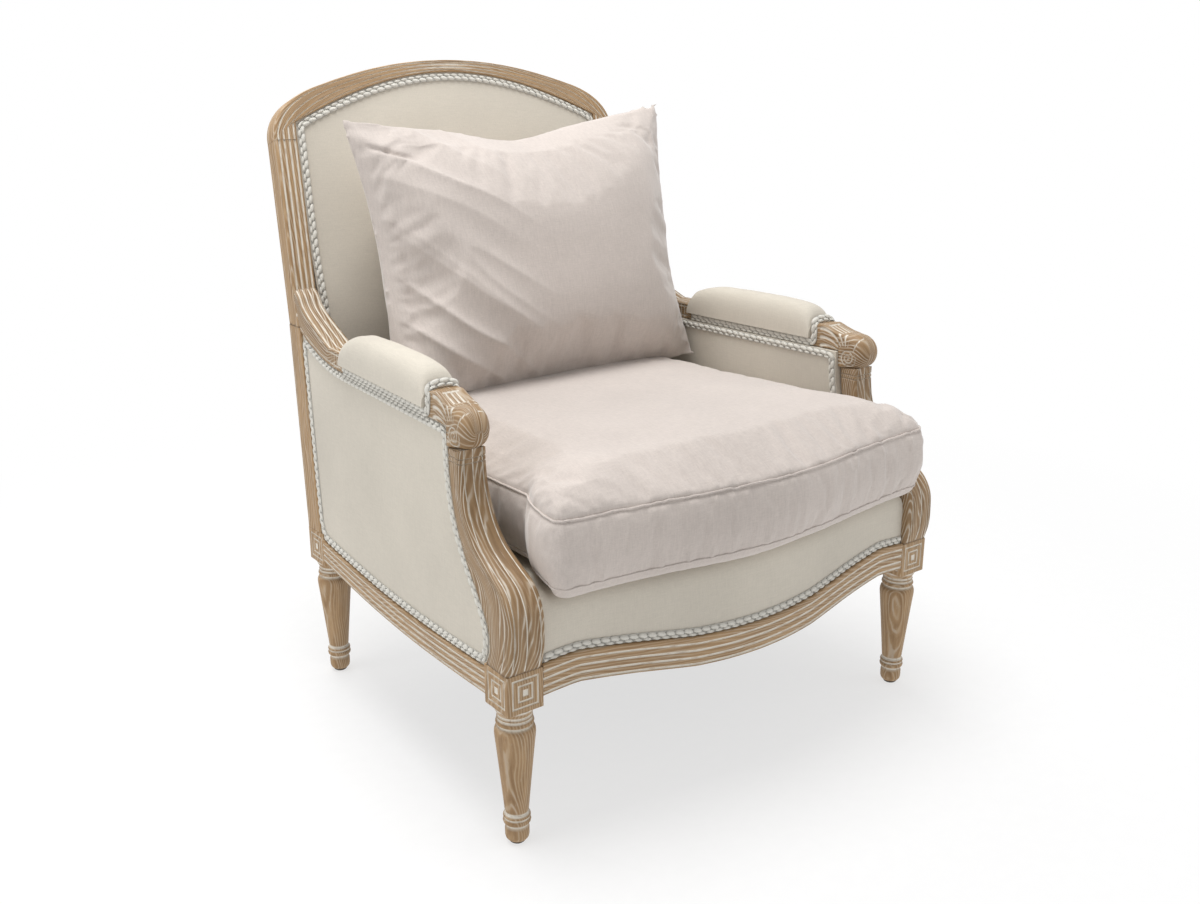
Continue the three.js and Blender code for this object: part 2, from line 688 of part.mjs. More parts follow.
const frameFoot = GAP + BACK_FRAME_THICKNESS * Math.tan(degrees(BACK_RAKE));
const stile = cut(
  framePiece([
    new THREE.Vector2(frameInnerX(0), 0),
    new THREE.Vector2(frameOuterX(0), 0),
    new THREE.Vector2(frameOuterX(SHOULDER_HEIGHT), SHOULDER_HEIGHT),
    new THREE.Vector2(frameInnerX(SHOULDER_HEIGHT), SHOULDER_HEIGHT),
  ], 0, BACK_FRAME_THICKNESS),
  closed(new THREE.BoxGeometry(REAR_SPREAD * 2, REAR_SPREAD, frameFoot * 2)
    .translate(0, REAR_FACE, POST_TOP + GAP - frameFoot)),
);

const outerHalf = crestOuter();
outerHalf[0].y += GAP;
const innerHalf = crestInner();
const flip = (points) => points.map((point) => new THREE.Vector2(-point.x, point.y));
const crestRail = framePiece([
  ...outerHalf,
  ...flip(outerHalf).toReversed().slice(1),
  ...flip(innerHalf),
  ...innerHalf.toReversed().slice(1),
], 0, BACK_FRAME_THICKNESS);

// The lower rail of the back, between the posts
const backRailBottom = RAIL_TOP + BACK_RAIL_LIFT;
const backRail = loft([backRailBottom, backRailBottom + BACK_RAIL_HEIGHT].map((z) => {
  const x = postInner(0, z) - GAP;
  const front = backFrontY(z) + BACK_PAD_DEPTH + 2 * GAP;
  const rear = postRear(z) - RABBET - GAP;
  return [[-x, front], [x, front], [x, rear], [-x, rear]].map(([px, y]) => new THREE.Vector3(px, y, z));
}));

// The opening of the back that the fabric panels fill, as its half width and its top at a place
const innerArch = innerHalf.slice(1);
function archTop(x) {
  const reach = Math.abs(x);
  const i = Math.max(innerArch.findIndex((point) => point.x <= reach), 1);
  const [a, b] = [innerArch[i - 1], innerArch[i]];
  return lerp(a.y, b.y, THREE.MathUtils.clamp((a.x - reach) / (a.x - b.x), 0, 1));
}
function frameRise(up, depth = 0) {
  const angle = degrees(BACK_RAKE);
  return POST_TOP + up * Math.cos(angle) - depth * Math.sin(angle) * Math.cos(angle);
}

function openingHalf(z) {
  if (z < POST_TOP) return postInner(0, z);
  return Math.min(frameInnerX((z - POST_TOP) / Math.cos(degrees(BACK_RAKE))), postInner(0, z));
}

// The rise of a padded face at a place, level under the braid along its edges
function crown(u, v, marginU, marginV) {
  const a = Math.min(Math.abs(2 * u - 1) / (1 - 2 * marginU), 1);
  const b = Math.min(Math.abs(2 * v - 1) / (1 - 2 * marginV), 1);
  return (1 - a * a) * (1 - b * b);
}

// A back panel between two depths behind the face, from a bottom height up to the arch
const PANEL_ACROSS = 14;
const PANEL_UP = 5;
const SOLVE_ROUNDS = 16;
const panelHalf = (z) => openingHalf(z) - 2 * GAP;
const edgeInset = TRIM_WIDTH + TRIM_CLEARANCE + GAP;
const ARCH_SLOPE_SHARE = 1.5;
const backMarginU = half(edgeInset / (frameInnerX(SHOULDER_HEIGHT) - edgeInset));
const backMarginV = edgeInset * ARCH_SLOPE_SHARE / (frameRise(SHOULDER_HEIGHT) - RAIL_TOP);
function backPanel(bottom, frontDepth, backDepth, overlap) {
  const levels = [
    0,
    (BLOCK_TOP - bottom) / (POST_TOP - bottom),
    ...steps(PANEL_UP),
  ].filter((t) => t >= 0).sort((p, q) => p - q);
  const lows = levels.map((t) => half(t));
  const topMargin = backMarginV * (frameRise(SHOULDER_HEIGHT) - bottom)
    / (frameRise(SHOULDER_HEIGHT) - POST_TOP);
  const highs = steps(PANEL_UP).slice(1).map((t) => half(1 + t * (1 - topMargin)));
  const place = (u, v, depth) => {
    const across = 2 * u - 1;
    let top = frameRise(SHOULDER_HEIGHT);
    for (let i = 0; i < SOLVE_ROUNDS; i += 1) top = frameRise(archTop(across * panelHalf(top)));
    const z = v < half(1)
      ? lerp(bottom, POST_TOP, 2 * v)
      : lerp(POST_TOP, top - 2 * GAP + overlap, 2 * v - 1);
    const rise = (z - bottom) / (top - bottom);
    return new THREE.Vector3(across * panelHalf(z), backFrontY(z) + depth(u, rise, z), z);
  };
  return sheet(
    (u, v) => place(u, v, frontDepth),
    (u, v) => place(u, v, backDepth),
    margins(PANEL_ACROSS, backMarginU),
    [...new Set([...lows, ...highs, 1])],
  );
}

const crestSpace = crestRail.clone().translate(0, 0, -2 * GAP);
const insideBackPad = cut(backPanel(
  RAIL_TOP + BACK_RAIL_LIFT,
  (u, v) => PANEL_RECESS - BACK_PAD_CROWN * crown(u, v, backMarginU, backMarginV),
  () => BACK_PAD_DEPTH,
  OVERRUN,
), crestSpace);
const rearLeg = new THREE.Vector3(half(REAR_SPREAD), REAR_Y, 0);
const frontLeg = new THREE.Vector3(half(FRONT_SPREAD), FRONT_Y, 0);

// The room that the panels leave for the square block of a leg
function blockSpace(leg) {
  const reach = half(BLOCK_SIZE) + GAP;
  return box(
    new THREE.Vector3(leg.x - reach, leg.y - reach, LEG_HEIGHT),
    new THREE.Vector3(leg.x + reach, leg.y + reach, BLOCK_TOP + GAP),
  );
}
const rearBlocks = [blockSpace(rearLeg), mirrored(blockSpace(rearLeg))];
const outsideBackPanel = cut(backPanel(
  rearRailHigh + GAP,
  (u, v, z) => postDepth(z) - panelDepth,
  (u, v, z) => postDepth(z) - PANEL_RECESS,
  OVERRUN,
), crestSpace, ...rearBlocks);

// Arm panels: the outside linen and the padded inside, between stump, arm, post and rail
const EDGE_SLOPE_SHARE = 1.25;
const sideBottomOut = (y) => sideRailHigh(y) + GAP;
const webTop = RAIL_TOP + 2 * (GAP + STRAP_THICKNESS);
const sideBottomIn = () => webTop + GAP;
const armPanelLength = SIDE_RAIL_REAR - SIDE_RAIL_FRONT;
const armPanelHeight = ARM_BOTTOM_HEIGHT - RAIL_TOP;
const armMarginU = edgeInset / armPanelLength * EDGE_SLOPE_SHARE;
const armMarginV = edgeInset / armPanelHeight;
const runIn = OVERRUN / armPanelLength;
const runUp = OVERRUN / armPanelHeight;
const ARM_PANEL_ACROSS = 9;
const ARM_PANEL_UP = 6;
function armPanel(bottom, face, thickness, crownHeight) {
  const place = (u, v) => {
    let y = 0;
    let z = lerp(RAIL_TOP, ARM_BOTTOM_HEIGHT, v);
    for (let i = 0; i < SOLVE_ROUNDS; i += 1) {
      y = lerp(stumpRearY(z) + GAP, backFrontY(z) - 2 * GAP, u);
      z = lerp(bottom(y), armBottomZ(y), v);
    }
    const rise = crownHeight * crown(u, v, armMarginU, armMarginV);
    return new THREE.Vector3(outerX(y, z) - face - rise, y, z);
  };
  const behind = (u, v) => {
    const point = place(u, v);
    const rise = crownHeight * crown(u, v, armMarginU, armMarginV);
    return point.setX(point.x + rise + thickness);
  };
  const us = margins(ARM_PANEL_ACROSS, armMarginU);
  us[0] = -2 * runIn;
  const vs = margins(ARM_PANEL_UP, armMarginV);
  vs[vs.length - 1] = 1 + runUp;
  return { place, solid: sheet(place, behind, us, vs) };
}

const outsideArm = armPanel(sideBottomOut, PANEL_RECESS, PANEL_RECESS - panelDepth, 0);
const insideFace = ARM_WIDTH + ARM_PAD_PROUD;
const insideArm = armPanel(sideBottomIn, insideFace, ARM_PAD_THICKNESS, ARM_PAD_CROWN);

// Arm pads on the seats of the arms, as rings of a low arch from front to rear
const PAD_PROFILE_SHARES = [
  [0, 0.42], [0.02, 0.68], [0.07, 0.89], [0.2, 0.98], [0.42, 1], [0.65, 0.99],
  [0.82, 0.93], [0.94, 0.78], [0.985, 0.6], [1, 0.36],
];
const PAD_SIDES = 10;
const PAD_ROUNDING = 0.7;
const padRear = SWOOP_START - GAP;
const manchette = loft(PAD_PROFILE_SHARES.map(([along, rise]) => {
  const y = lerp(PAD_FRONT, padRear, along);
  const middle = outerX(y, ARM_SEAT_HEIGHT) - half(ARM_WIDTH);
  const base = ARM_SEAT_HEIGHT + GAP;
  const ring = [];
  for (let i = 0; i <= PAD_SIDES; i += 1) {
    const angle = Math.PI * (i / PAD_SIDES);
    const wide = Math.sign(Math.cos(angle)) * Math.abs(Math.cos(angle)) ** PAD_ROUNDING;
    const tall = Math.sin(angle) ** PAD_ROUNDING;
    ring.push(new THREE.Vector3(
      middle + half(MANCHETTE_WIDTH) * wide,
      y,
      base + MANCHETTE_HEIGHT * rise * tall,
    ));
  }
  return ring;
}));

// Seat platform on the webbing, with the upholstered border along the front rail
const insideArmX = (y, z) => outerX(y, z) - insideFace - ARM_PAD_CROWN;
const platformBottom = webTop + GAP;
const PLATFORM_SIDE_STEPS = 4;
const PLATFORM_FRONT_STEPS = 14;

// The seat plan from the middle of the front round one side to the middle of the back
function platformPlan() {
  const plan = [];
  const frontHalf = stumpInner() - GAP;
  for (const share of steps(half(PLATFORM_FRONT_STEPS))) {
    const x = frontHalf * share;
    plan.push([x, FRONT_FACE - bow(x) + RABBET - BORDER_THICKNESS]);
  }
  const shoulderY = stumpRearY(lerp(webTop, PLATFORM_TOP, half(1)));
  plan.push([frontHalf, shoulderY - 2 * GAP]);
  const rearY = backFrontY(platformBottom) - OVERRUN;
  for (const share of steps(PLATFORM_SIDE_STEPS)) {
    const y = lerp(shoulderY + 2 * GAP, rearY, share);
    plan.push([insideArmX(y, PLATFORM_TOP) - GAP, y]);
  }
  plan.push([0, rearY]);
  return plan;
}

function closedPlan(plan) {
  const left = plan.slice(1, -1).toReversed().map(([x, y]) => [-x, y]);
  return [...plan, ...left];
}

const planMiddle = half(FRONT_FACE + REAR_FACE);
function planRing(plan, inset, z) {
  const [frontHalf, depth] = [half(FRONT_SPREAD), half(REAR_FACE - FRONT_FACE)];
  return plan.map(([x, y]) => new THREE.Vector3(
    x * (1 - inset / frontHalf),
    planMiddle + (y - planMiddle) * (1 - inset / depth),
    z,
  ));
}

const PLATFORM_RING_SHARES = [[0, 0], [0, 0.5], [0.12, 0.78], [0.45, 0.93], [1.2, 1]];
const platformRings = PLATFORM_RING_SHARES.map(([inset, rise]) => planRing(
  closedPlan(platformPlan()),
  inset * PLATFORM_ROUND,
  lerp(platformBottom, PLATFORM_TOP, rise),
));
const seatPlatform = loft(platformRings);

const borderFace = RABBET - BORDER_THICKNESS;
const frontBorder = sheet(
  (u, v) => {
    const x = lerp(-FRONT_RAIL_HALF, FRONT_RAIL_HALF, u);
    const y = FRONT_FACE - bow(x) + borderFace;
    return new THREE.Vector3(x, y, lerp(frontRailHigh(x) + GAP, platformBottom - GAP, v));
  },
  (u, v) => {
    const x = lerp(-FRONT_RAIL_HALF, FRONT_RAIL_HALF, u);
    const y = FRONT_FACE - bow(x) + RABBET - GAP;
    return new THREE.Vector3(x, y, lerp(frontRailHigh(x) + GAP, platformBottom - GAP, v));
  },
  steps(FRONT_RAIL_STEPS),
  steps(1),
);

// Webbing: straps from front to back on the rails, and cross straps over them
const LONG_STRAP_SHARES = [-0.66, -0.22, 0.22, 0.66];
const CROSS_STRAP_SHARES = [0.24, 0.5, 0.76];

// Corner blocks, glued and screwed behind the legs
const blockLow = LEG_HEIGHT + CORNER_BLOCK_LIFT;
const screwZ = blockLow + half(CORNER_BLOCK_HEIGHT);
const sideRailInner = (y) => outerX(y, 0) - RAIL_THICKNESS - GAP;

// A corner at the front or the rear right leg: its block, its screw and its screw hole
function corner(legX, legY, inwardY) {
  const railY = legY - inwardY * half(BLOCK_SIZE) + inwardY * (RAIL_THICKNESS + GAP);
  const endY = railY + inwardY * CORNER_BLOCK_LEG;
  const endX = sideRailInner(railY) - CORNER_BLOCK_LEG;
  const triangle = [
    new THREE.Vector2(sideRailInner(railY), railY),
    new THREE.Vector2(endX, railY),
    new THREE.Vector2(sideRailInner(endY), endY),
  ];
  const prism = closed(new THREE.ExtrudeGeometry(
    new THREE.Shape(triangle),
    { depth: CORNER_BLOCK_HEIGHT, bevelEnabled: false, steps: 1 },
  ).translate(0, 0, blockLow));
  const reach = half(BLOCK_SIZE) + GAP;
  const legSpace = box(
    new THREE.Vector3(legX - reach, legY - reach, blockLow - OVERRUN),
    new THREE.Vector3(legX + reach, legY + reach, BLOCK_TOP + OVERRUN),
  );
  const seat = triangle[1].clone().add(triangle[2]).multiplyScalar(half(1));
  const face = triangle[2].clone().sub(triangle[1]).normalize();
  let inward = new THREE.Vector2(face.y, -face.x);
  if (inward.dot(seat) > 0) inward = inward.negate();
  const pose = new THREE.Matrix4().makeBasis(
    new THREE.Vector3(face.x, face.y, 0),
    new THREE.Vector3(inward.x, inward.y, 0),
    new THREE.Vector3(face.x, face.y, 0).cross(new THREE.Vector3(inward.x, inward.y, 0)),
  ).setPosition(seat.x, seat.y, screwZ);
  const turned = (profile) => closed(new THREE.LatheGeometry(
    profile.map(([r, y]) => new THREE.Vector2(r, y)),
    half(LEG_SIDES),
  ).applyMatrix4(pose));
  const hole = turned([
    [0, -SCREW_LENGTH - GAP],
    [SCREW_RADIUS + GAP, -SCREW_LENGTH - GAP],
    [SCREW_RADIUS + GAP, OVERRUN],
    [0, OVERRUN],
  ]);
  const screw = turned([
    [0, -SCREW_LENGTH],
    [SCREW_RADIUS, -SCREW_LENGTH + SCREW_RADIUS],
    [SCREW_RADIUS, GAP],
    [SCREW_HEAD_RADIUS, GAP],
    [SCREW_HEAD_RADIUS, half(SCREW_HEAD_HEIGHT)],
    [half(SCREW_HEAD_RADIUS), SCREW_HEAD_HEIGHT],
    [0, SCREW_HEAD_HEIGHT],
  ]);
  return { block: cut(prism, legSpace, hole), leg: cut(legAt(legX, legY), hole), screw };
}

for (const [end, legX, legY, inwardY] of [
  ['front', half(FRONT_SPREAD), FRONT_Y, 1],
  ['rear', half(REAR_SPREAD), REAR_Y, -1],
]) {
  const { block, leg, screw } = corner(legX, legY, inwardY);
  addPair(`${end}_leg`, leg, 'oak');
  addPair(`${end}_foot_glide`, glideAt(legX, legY), 'nylon');
  addPair(`${end}_corner_block`, block, 'pine');
  addPair(`${end}_corner_screw`, screw, 'steel');
}

add('front_seat_rail', frontRail, 'oak');
addPair('side_seat_rail', sideRail, 'oak');
add('rear_seat_rail', rearRail, 'oak');
addPair('arm_stump', stump, 'oak');
addPair('arm_rail', arm, 'oak');
addPair('back_post', backPost, 'oak');
addPair('back_stile', stile, 'oak');
add('crest_rail', crestRail, 'oak');
add('back_bottom_rail', backRail, 'oak');

LONG_STRAP_SHARES.forEach((share, i) => {
  const x = share * stumpInner();
  const front = FRONT_FACE - bow(Math.abs(x) + half(STRAP_WIDTH)) + half(RAIL_THICKNESS);
  const low = new THREE.Vector3(x - half(STRAP_WIDTH), front, RAIL_TOP + GAP);
  const high = new THREE.Vector3(
    x + half(STRAP_WIDTH),
    REAR_FACE - half(RAIL_THICKNESS),
    RAIL_TOP + GAP + STRAP_THICKNESS,
  );
  add(`long_web_strap_${i + 1}`, box(low, high), 'jute');
});
CROSS_STRAP_SHARES.forEach((share, i) => {
  const y = lerp(FRONT_FACE, REAR_FACE, share);
  const reach = outerX(y, 0) - half(RABBET + RAIL_THICKNESS);
  const z = webTop - STRAP_THICKNESS;
  const low = new THREE.Vector3(-reach, y - half(STRAP_WIDTH), z);
  const high = new THREE.Vector3(reach, y + half(STRAP_WIDTH), webTop);
  add(`cross_web_strap_${i + 1}`, box(low, high), 'jute');
});

add('seat_platform', seatPlatform, 'linen');
add('front_seat_border', frontBorder, 'linen');
add('inside_back_pad', insideBackPad, 'linen');
add('outside_back_panel', outsideBackPanel, 'linen');
const postSpace = backPost.clone().translate(0, -2 * GAP, 0);
addPair('inside_arm_pad', cut(insideArm.solid, stumpSpace, armSpace, postSpace), 'linen');
const sideBlocks = [blockSpace(frontLeg), blockSpace(rearLeg)];
const panelSpaces = [stumpSpace, armSpace, postSpace, ...sideBlocks];
addPair('outside_arm_panel', cut(outsideArm.solid, ...panelSpaces), 'linen');
addPair('manchette', manchette, 'linen');

// Dust cover under the seat, inside the rails and round the leg blocks
const coverZ = LEG_HEIGHT + DUST_COVER_LIFT;
const legInset = half(BLOCK_SIZE) + GAP;
const coverFront = FRONT_FACE + RAIL_THICKNESS + 2 * GAP;
const coverHalf = [
  ...steps(half(FRONT_RAIL_STEPS)).slice(0, -1).map((share) => {
    const x = share * FRONT_RAIL_HALF;
    return [x, coverFront - bow(x)];
  }),
  [half(FRONT_SPREAD) - legInset, coverFront],
  [half(FRONT_SPREAD) - legInset, FRONT_Y + legInset],
  [sideRailInner(FRONT_Y + legInset), FRONT_Y + legInset],
  [sideRailInner(REAR_Y - legInset), REAR_Y - legInset],
  [half(REAR_SPREAD) - legInset, REAR_Y - legInset],
  [half(REAR_SPREAD) - legInset, REAR_FACE - RAIL_THICKNESS - GAP],
  [0, REAR_FACE - RAIL_THICKNESS - GAP],
];
const coverShape = new THREE.Shape(closedPlan(coverHalf).map(([x, y]) => new THREE.Vector2(x, y)));
const dustCover = closed(new THREE.ExtrudeGeometry(
  coverShape,
  { depth: DUST_COVER_THICKNESS, bevelEnabled: false, steps: 1 },
).translate(0, 0, coverZ));
add('dust_cover', dustCover, 'blackCloth');

// Braids, laid over the edges of the fabric
const inset = half(TRIM_WIDTH) + GAP;
const TRIM_STEPS = 24;

const frontTrim = band(laid(
  steps(FRONT_RAIL_STEPS).map((share) => {
    const x = lerp(-FRONT_RAIL_HALF + GAP, FRONT_RAIL_HALF - GAP, share);
    return new THREE.Vector3(x, FRONT_FACE - bow(x) + borderFace, frontRailHigh(x) + inset + GAP);
  }),
  () => new THREE.Vector3(0, -1, 0),
), TRIM_WIDTH);
add('front_braid', frontTrim, 'braid');

// The direction that a side of the chair faces at a place
function sideNormal({ y, z }) {
  const taper = (outerX(y, z) - outerX(y + TRIM_WIDTH, z)) / TRIM_WIDTH;
  const lean = (outerX(y, z) - outerX(y, z + TRIM_WIDTH)) / TRIM_WIDTH;
  return new THREE.Vector3(1, taper, lean);
}

// Runs along the edges of an arm panel through the given corners
const PANEL_RUN_STEPS = 10;
function panelRun(place, corners) {
  const path = [];
  for (let side = 0; side < corners.length - 1; side += 1) {
    const [[u0, v0], [u1, v1]] = [corners[side], corners[side + 1]];
    for (const share of steps(PANEL_RUN_STEPS).slice(0, -1)) {
      path.push(place(lerp(u0, u1, share), lerp(v0, v1, share)));
    }
  }
  return path;
}
const trimU = inset / armPanelLength * EDGE_SLOPE_SHARE;
const trimV = (inset + 2 * GAP) / armPanelHeight;
const outsideLoop = panelRun(
  outsideArm.place,
  [[trimU, trimV], [trimU, 1 - trimV], [1 - trimU, 1 - trimV], [1 - trimU, trimV], [trimU, trimV]],
);
const outsideTrim = band(laid(outsideLoop, sideNormal, true), TRIM_WIDTH, true);
addPair('outside_arm_braid', cut(outsideTrim, ...panelSpaces), 'braid');
const insideRun = [
  ...panelRun(insideArm.place, [[trimU, 0], [trimU, 1 - trimV], [1 - trimU, 1 - trimV]]),
  insideArm.place(1 - half(trimU), 1 - trimV),
];
const insideTrim = band(laid(insideRun, (at) => sideNormal(at).negate()), TRIM_WIDTH);
const belowSeat = box(
  new THREE.Vector3(0, FRONT_FACE, 0),
  new THREE.Vector3(half(FRONT_SPREAD), REAR_FACE, PLATFORM_TOP + GAP),
);
addPair('inside_arm_braid', cut(insideTrim, belowSeat, stumpSpace, armSpace), 'braid');

// The braid round the foot of each arm pad: along one side of the arm, over it and back along the other
const padTrimZ = ARM_SEAT_HEIGHT - inset;
const handFlatZ = ARM_SEAT_HEIGHT + HAND_RISE * HAND_FLAT_SHARE;
const padTrimFront = PAD_FRONT - inset - TRIM_CLEARANCE;
const padTrim = [];
for (const side of [1, -1]) {
  const face = (y, z) => (side === 1 ? outerX(y, z) : armInner(y, z));
  const wing = [];
  for (const share of steps(half(TRIM_STEPS)).toReversed()) {
    const y = lerp(PAD_FRONT + TRIM_WIDTH, padRear - inset, share);
    wing.push(new THREE.Vector3(face(y, padTrimZ), y, padTrimZ));
  }
  const edge = (y, z) => new THREE.Vector3(face(y, z) + side * GAP, y, z);
  wing.push(edge(lerp(PAD_FRONT, padTrimFront, half(1)), padTrimZ + half(GAP)));
  wing.push(edge(padTrimFront, ARM_SEAT_HEIGHT));
  wing.push(edge(padTrimFront, handFlatZ - TRIM_THICKNESS));
  wing.push(edge(padTrimFront, handFlatZ + GAP));
  const outs = wing.map((at) => sideNormal(at).multiplyScalar(side).normalize());
  outs[outs.length - 1].add(new THREE.Vector3(0, 0, 1));
  const places = wing.map((at, i) => ({ at, out: outs[i].normalize() }));
  padTrim.push(...(side === 1 ? places : places.toReversed()));
}
const manchetteTrim = band(padTrim.map(({ at, out }, i, all) => {
  const before = all[Math.max(i - 1, 0)].at;
  const after = all[Math.min(i + 1, all.length - 1)].at;
  return { at, out, wide: after.clone().sub(before).cross(out).normalize() };
}), TRIM_WIDTH);
addPair('manchette_braid', manchetteTrim, 'braid');

// The braid round the inside and the outside of the back
function archTrim(depth, bottom, facing) {
  const path = [];
  const slope = ({ z }) => {
    const [low, high] = [z - TRIM_WIDTH, z + TRIM_WIDTH];
    return (backFrontY(high) + depth(high) - backFrontY(low) - depth(low)) / (high - low);
  };
  const outward = (at) => new THREE.Vector3(0, facing, -facing * slope(at));
  const cornerUp = innerArch[0].y;
  for (const share of steps(half(TRIM_STEPS))) {
    const z = lerp(bottom, frameRise(cornerUp - inset, depth(POST_TOP)), share);
    path.push(new THREE.Vector3(-(panelHalf(z) - inset - TRIM_CLEARANCE), backFrontY(z) + depth(z), z));
  }
  const cornerHalf = panelHalf(frameRise(cornerUp)) - inset - TRIM_CLEARANCE;
  for (const share of steps(TRIM_STEPS).slice(1, -1)) {
    const x = lerp(-cornerHalf, cornerHalf, share);
    const z = frameRise(archTop(x) - inset - TRIM_CLEARANCE - 2 * GAP, depth(POST_TOP));
    path.push(new THREE.Vector3(x, backFrontY(z) + depth(z), z));
  }
  const right = path.slice(0, half(TRIM_STEPS) + 1).toReversed();
  path.push(...right.map((point) => new THREE.Vector3(-point.x, point.y, point.z)));
  return band(laid(path, outward), TRIM_WIDTH);
}
add('inside_back_braid', archTrim(
  () => PANEL_RECESS,
  POST_TOP,
  -1,
), 'braid');
add('outside_back_braid', archTrim(
  (z) => postDepth(z) - PANEL_RECESS,
  BLOCK_TOP + TRIM_CLEARANCE,
  1,
), 'braid');

// Seat cushion: a boxed T cushion with a crowned top and flared front ears
const cushionBottom = PLATFORM_TOP + GAP;
const cushionSeam = cushionBottom + CUSHION_SEAM_HEIGHT;
const cushionFront = FRONT_FACE - CUSHION_OVERHANG;
const cushionRear = backFrontY(cushionBottom) - CUSHION_BACK_CLEARANCE;
const earHalf = stumpInner() - CUSHION_EAR_CLEARANCE - CUSHION_BULGE;
const CUSHION_FRONT_STEPS = 8;
const CUSHION_SIDE_STEPS = 6;
const CUSHION_WAIST_SHARE = 0.905;
const CUSHION_CORNER_SHARE = 0.97;
const EAR_SHARES = [[1, 0.1], [0.99, 0.35], [0.965, 0.65]];
const REAR_CORNER_SHARES = [[1, 0.955], [0.975, 0.99]];

function cushionPlan() {
  const plan = [];
  for (const share of steps(CUSHION_FRONT_STEPS)) {
    const x = earHalf * share * CUSHION_CORNER_SHARE;
    plan.push([x, cushionFront - bow(x)]);
  }
  for (const [wide, along] of EAR_SHARES) {
    plan.push([earHalf * wide, cushionFront + CUSHION_EAR_LENGTH * along]);
  }
  const notchY = cushionFront + CUSHION_EAR_LENGTH;
  const sideX = (y) => insideArmX(y, cushionSeam) - CUSHION_SIDE_CLEARANCE;
  const rearDepthSpan = cushionRear - notchY;
  for (let i = 0; i < CUSHION_SIDE_STEPS; i += 1) {
    const y = notchY + rearDepthSpan * (i / CUSHION_SIDE_STEPS);
    plan.push([Math.min(sideX(y), earHalf * CUSHION_WAIST_SHARE), y]);
  }
  for (const [wide, along] of REAR_CORNER_SHARES) {
    plan.push([sideX(cushionRear) * wide, notchY + rearDepthSpan * along]);
  }
  plan.push([sideX(cushionRear) * half(1), cushionRear]);
  plan.push([0, cushionRear]);
  return plan;
}

// Rings as [inset, height share of the boxing, share of the crown]
const CUSHION_RING_SHARES = [
  [0.9, 0, 0], [0.42, 0.02, 0], [0, 0.17, 0], [-0.08, 0.5, 0], [-0.06, 0.82, 0], [0, 1, 0],
  [0.16, 1, 0.34], [0.55, 1, 0.68], [1.3, 1, 0.86], [2.9, 1, 0.96], [5, 1, 1],
];
const cushionOutline = closedPlan(cushionPlan());
const cushionDepth = cushionRear - cushionFront;
const tiltAt = (y) => CUSHION_REAR_DROP * (y - cushionFront) / cushionDepth;
const seatCushion = loft(CUSHION_RING_SHARES.map(([insetShare, boxing, crownShare]) => {
  const ring = planRing(cushionOutline, insetShare * CUSHION_CROWN, 0);
  ring.forEach((point) => {
    const seam = (CUSHION_SEAM_HEIGHT - tiltAt(point.y)) * boxing;
    point.z = cushionBottom + seam + CUSHION_CROWN * crownShare;
  });
  return ring;
}));
add('seat_cushion', seatCushion, 'velvet');

// Back pillow: two puffed faces meeting in a knife edge with drawn-in sides and pinched ears
const PILLOW_ACROSS = 16;
const PILLOW_UP = 14;
const CHOP_SHARPNESS = 3;
const CHOP_POWER = 4;
const PUFF_POWER = 2.6;
const PUFF_ROUNDING = 0.62;
const pillowFootZ = cushionSeam + CUSHION_CROWN * half(1);
const pillowFootY = backFrontY(pillowFootZ) - PILLOW_SETBACK;
function onPillow(u, v, bulge) {
  const [a, b] = [2 * u - 1, 2 * v - 1];
  const x = PILLOW_SHIFT + a * (PILLOW_HALF_WIDTH - PILLOW_WAIST * (1 - b * b));
  const dip = half(Math.exp(-((CHOP_SHARPNESS * a) ** 2)) + 1 - a ** CHOP_POWER);
  const lift = PILLOW_HEIGHT * v - PILLOW_CHOP * dip * v ** CHOP_POWER;
  const [flatA, flatB] = [Math.abs(a) ** PUFF_POWER, Math.abs(b) ** PUFF_POWER];
  const puff = ((1 - flatA) * (1 - flatB)) ** PUFF_ROUNDING;
  const y = pillowFootY + lift * PILLOW_LEAN - bulge * puff;
  return new THREE.Vector3(x, y, pillowFootZ + lift);
}
const pillow = sheet(
  (u, v) => onPillow(u, v, PILLOW_FRONT_BULGE),
  (u, v) => onPillow(u, v, -PILLOW_BACK_BULGE),
  steps(PILLOW_ACROSS),
  steps(PILLOW_UP),
);
const backPillow = largest(cut(
  pillow,
  seatCushion.clone().translate(0, 0, GAP),
  insideBackPad.clone().translate(0, -2 * GAP, 0),
));
add('back_cushion', backPillow, 'velvet');

// The origin is the middle of the chair's footprint, on the floor
chair.updateMatrixWorld(true);
const bounds = new THREE.Box3().setFromObject(chair);
const middle = bounds.getCenter(new THREE.Vector3());
chair.position.set(-middle.x, -middle.y, -bounds.min.z);
chair.updateMatrixWorld(true);

export default chair;
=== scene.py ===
import math

import bmesh
import bpy
from bpy.props import FloatProperty, FloatVectorProperty, PointerProperty
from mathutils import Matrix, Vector, noise
from mathutils.bvhtree import BVHTree
from mathutils.kdtree import KDTree


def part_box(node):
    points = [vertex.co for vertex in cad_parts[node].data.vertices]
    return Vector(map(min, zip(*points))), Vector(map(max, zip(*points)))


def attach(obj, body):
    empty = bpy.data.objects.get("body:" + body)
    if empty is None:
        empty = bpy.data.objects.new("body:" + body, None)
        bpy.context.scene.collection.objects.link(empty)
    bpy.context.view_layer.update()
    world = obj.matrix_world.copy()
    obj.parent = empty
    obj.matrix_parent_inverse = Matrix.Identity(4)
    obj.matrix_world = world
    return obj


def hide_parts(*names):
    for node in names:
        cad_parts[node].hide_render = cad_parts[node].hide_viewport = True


bl_info = {
    "name": "Bergere armchair",
    "version": (1, 0, 0),
    "blender": (4, 5, 0),
    "location": "3D View > Sidebar > Bergere",
    "description": "Builds the looks of a limed oak bergere armchair around its CAD frame",
    "category": "Add Mesh",
}

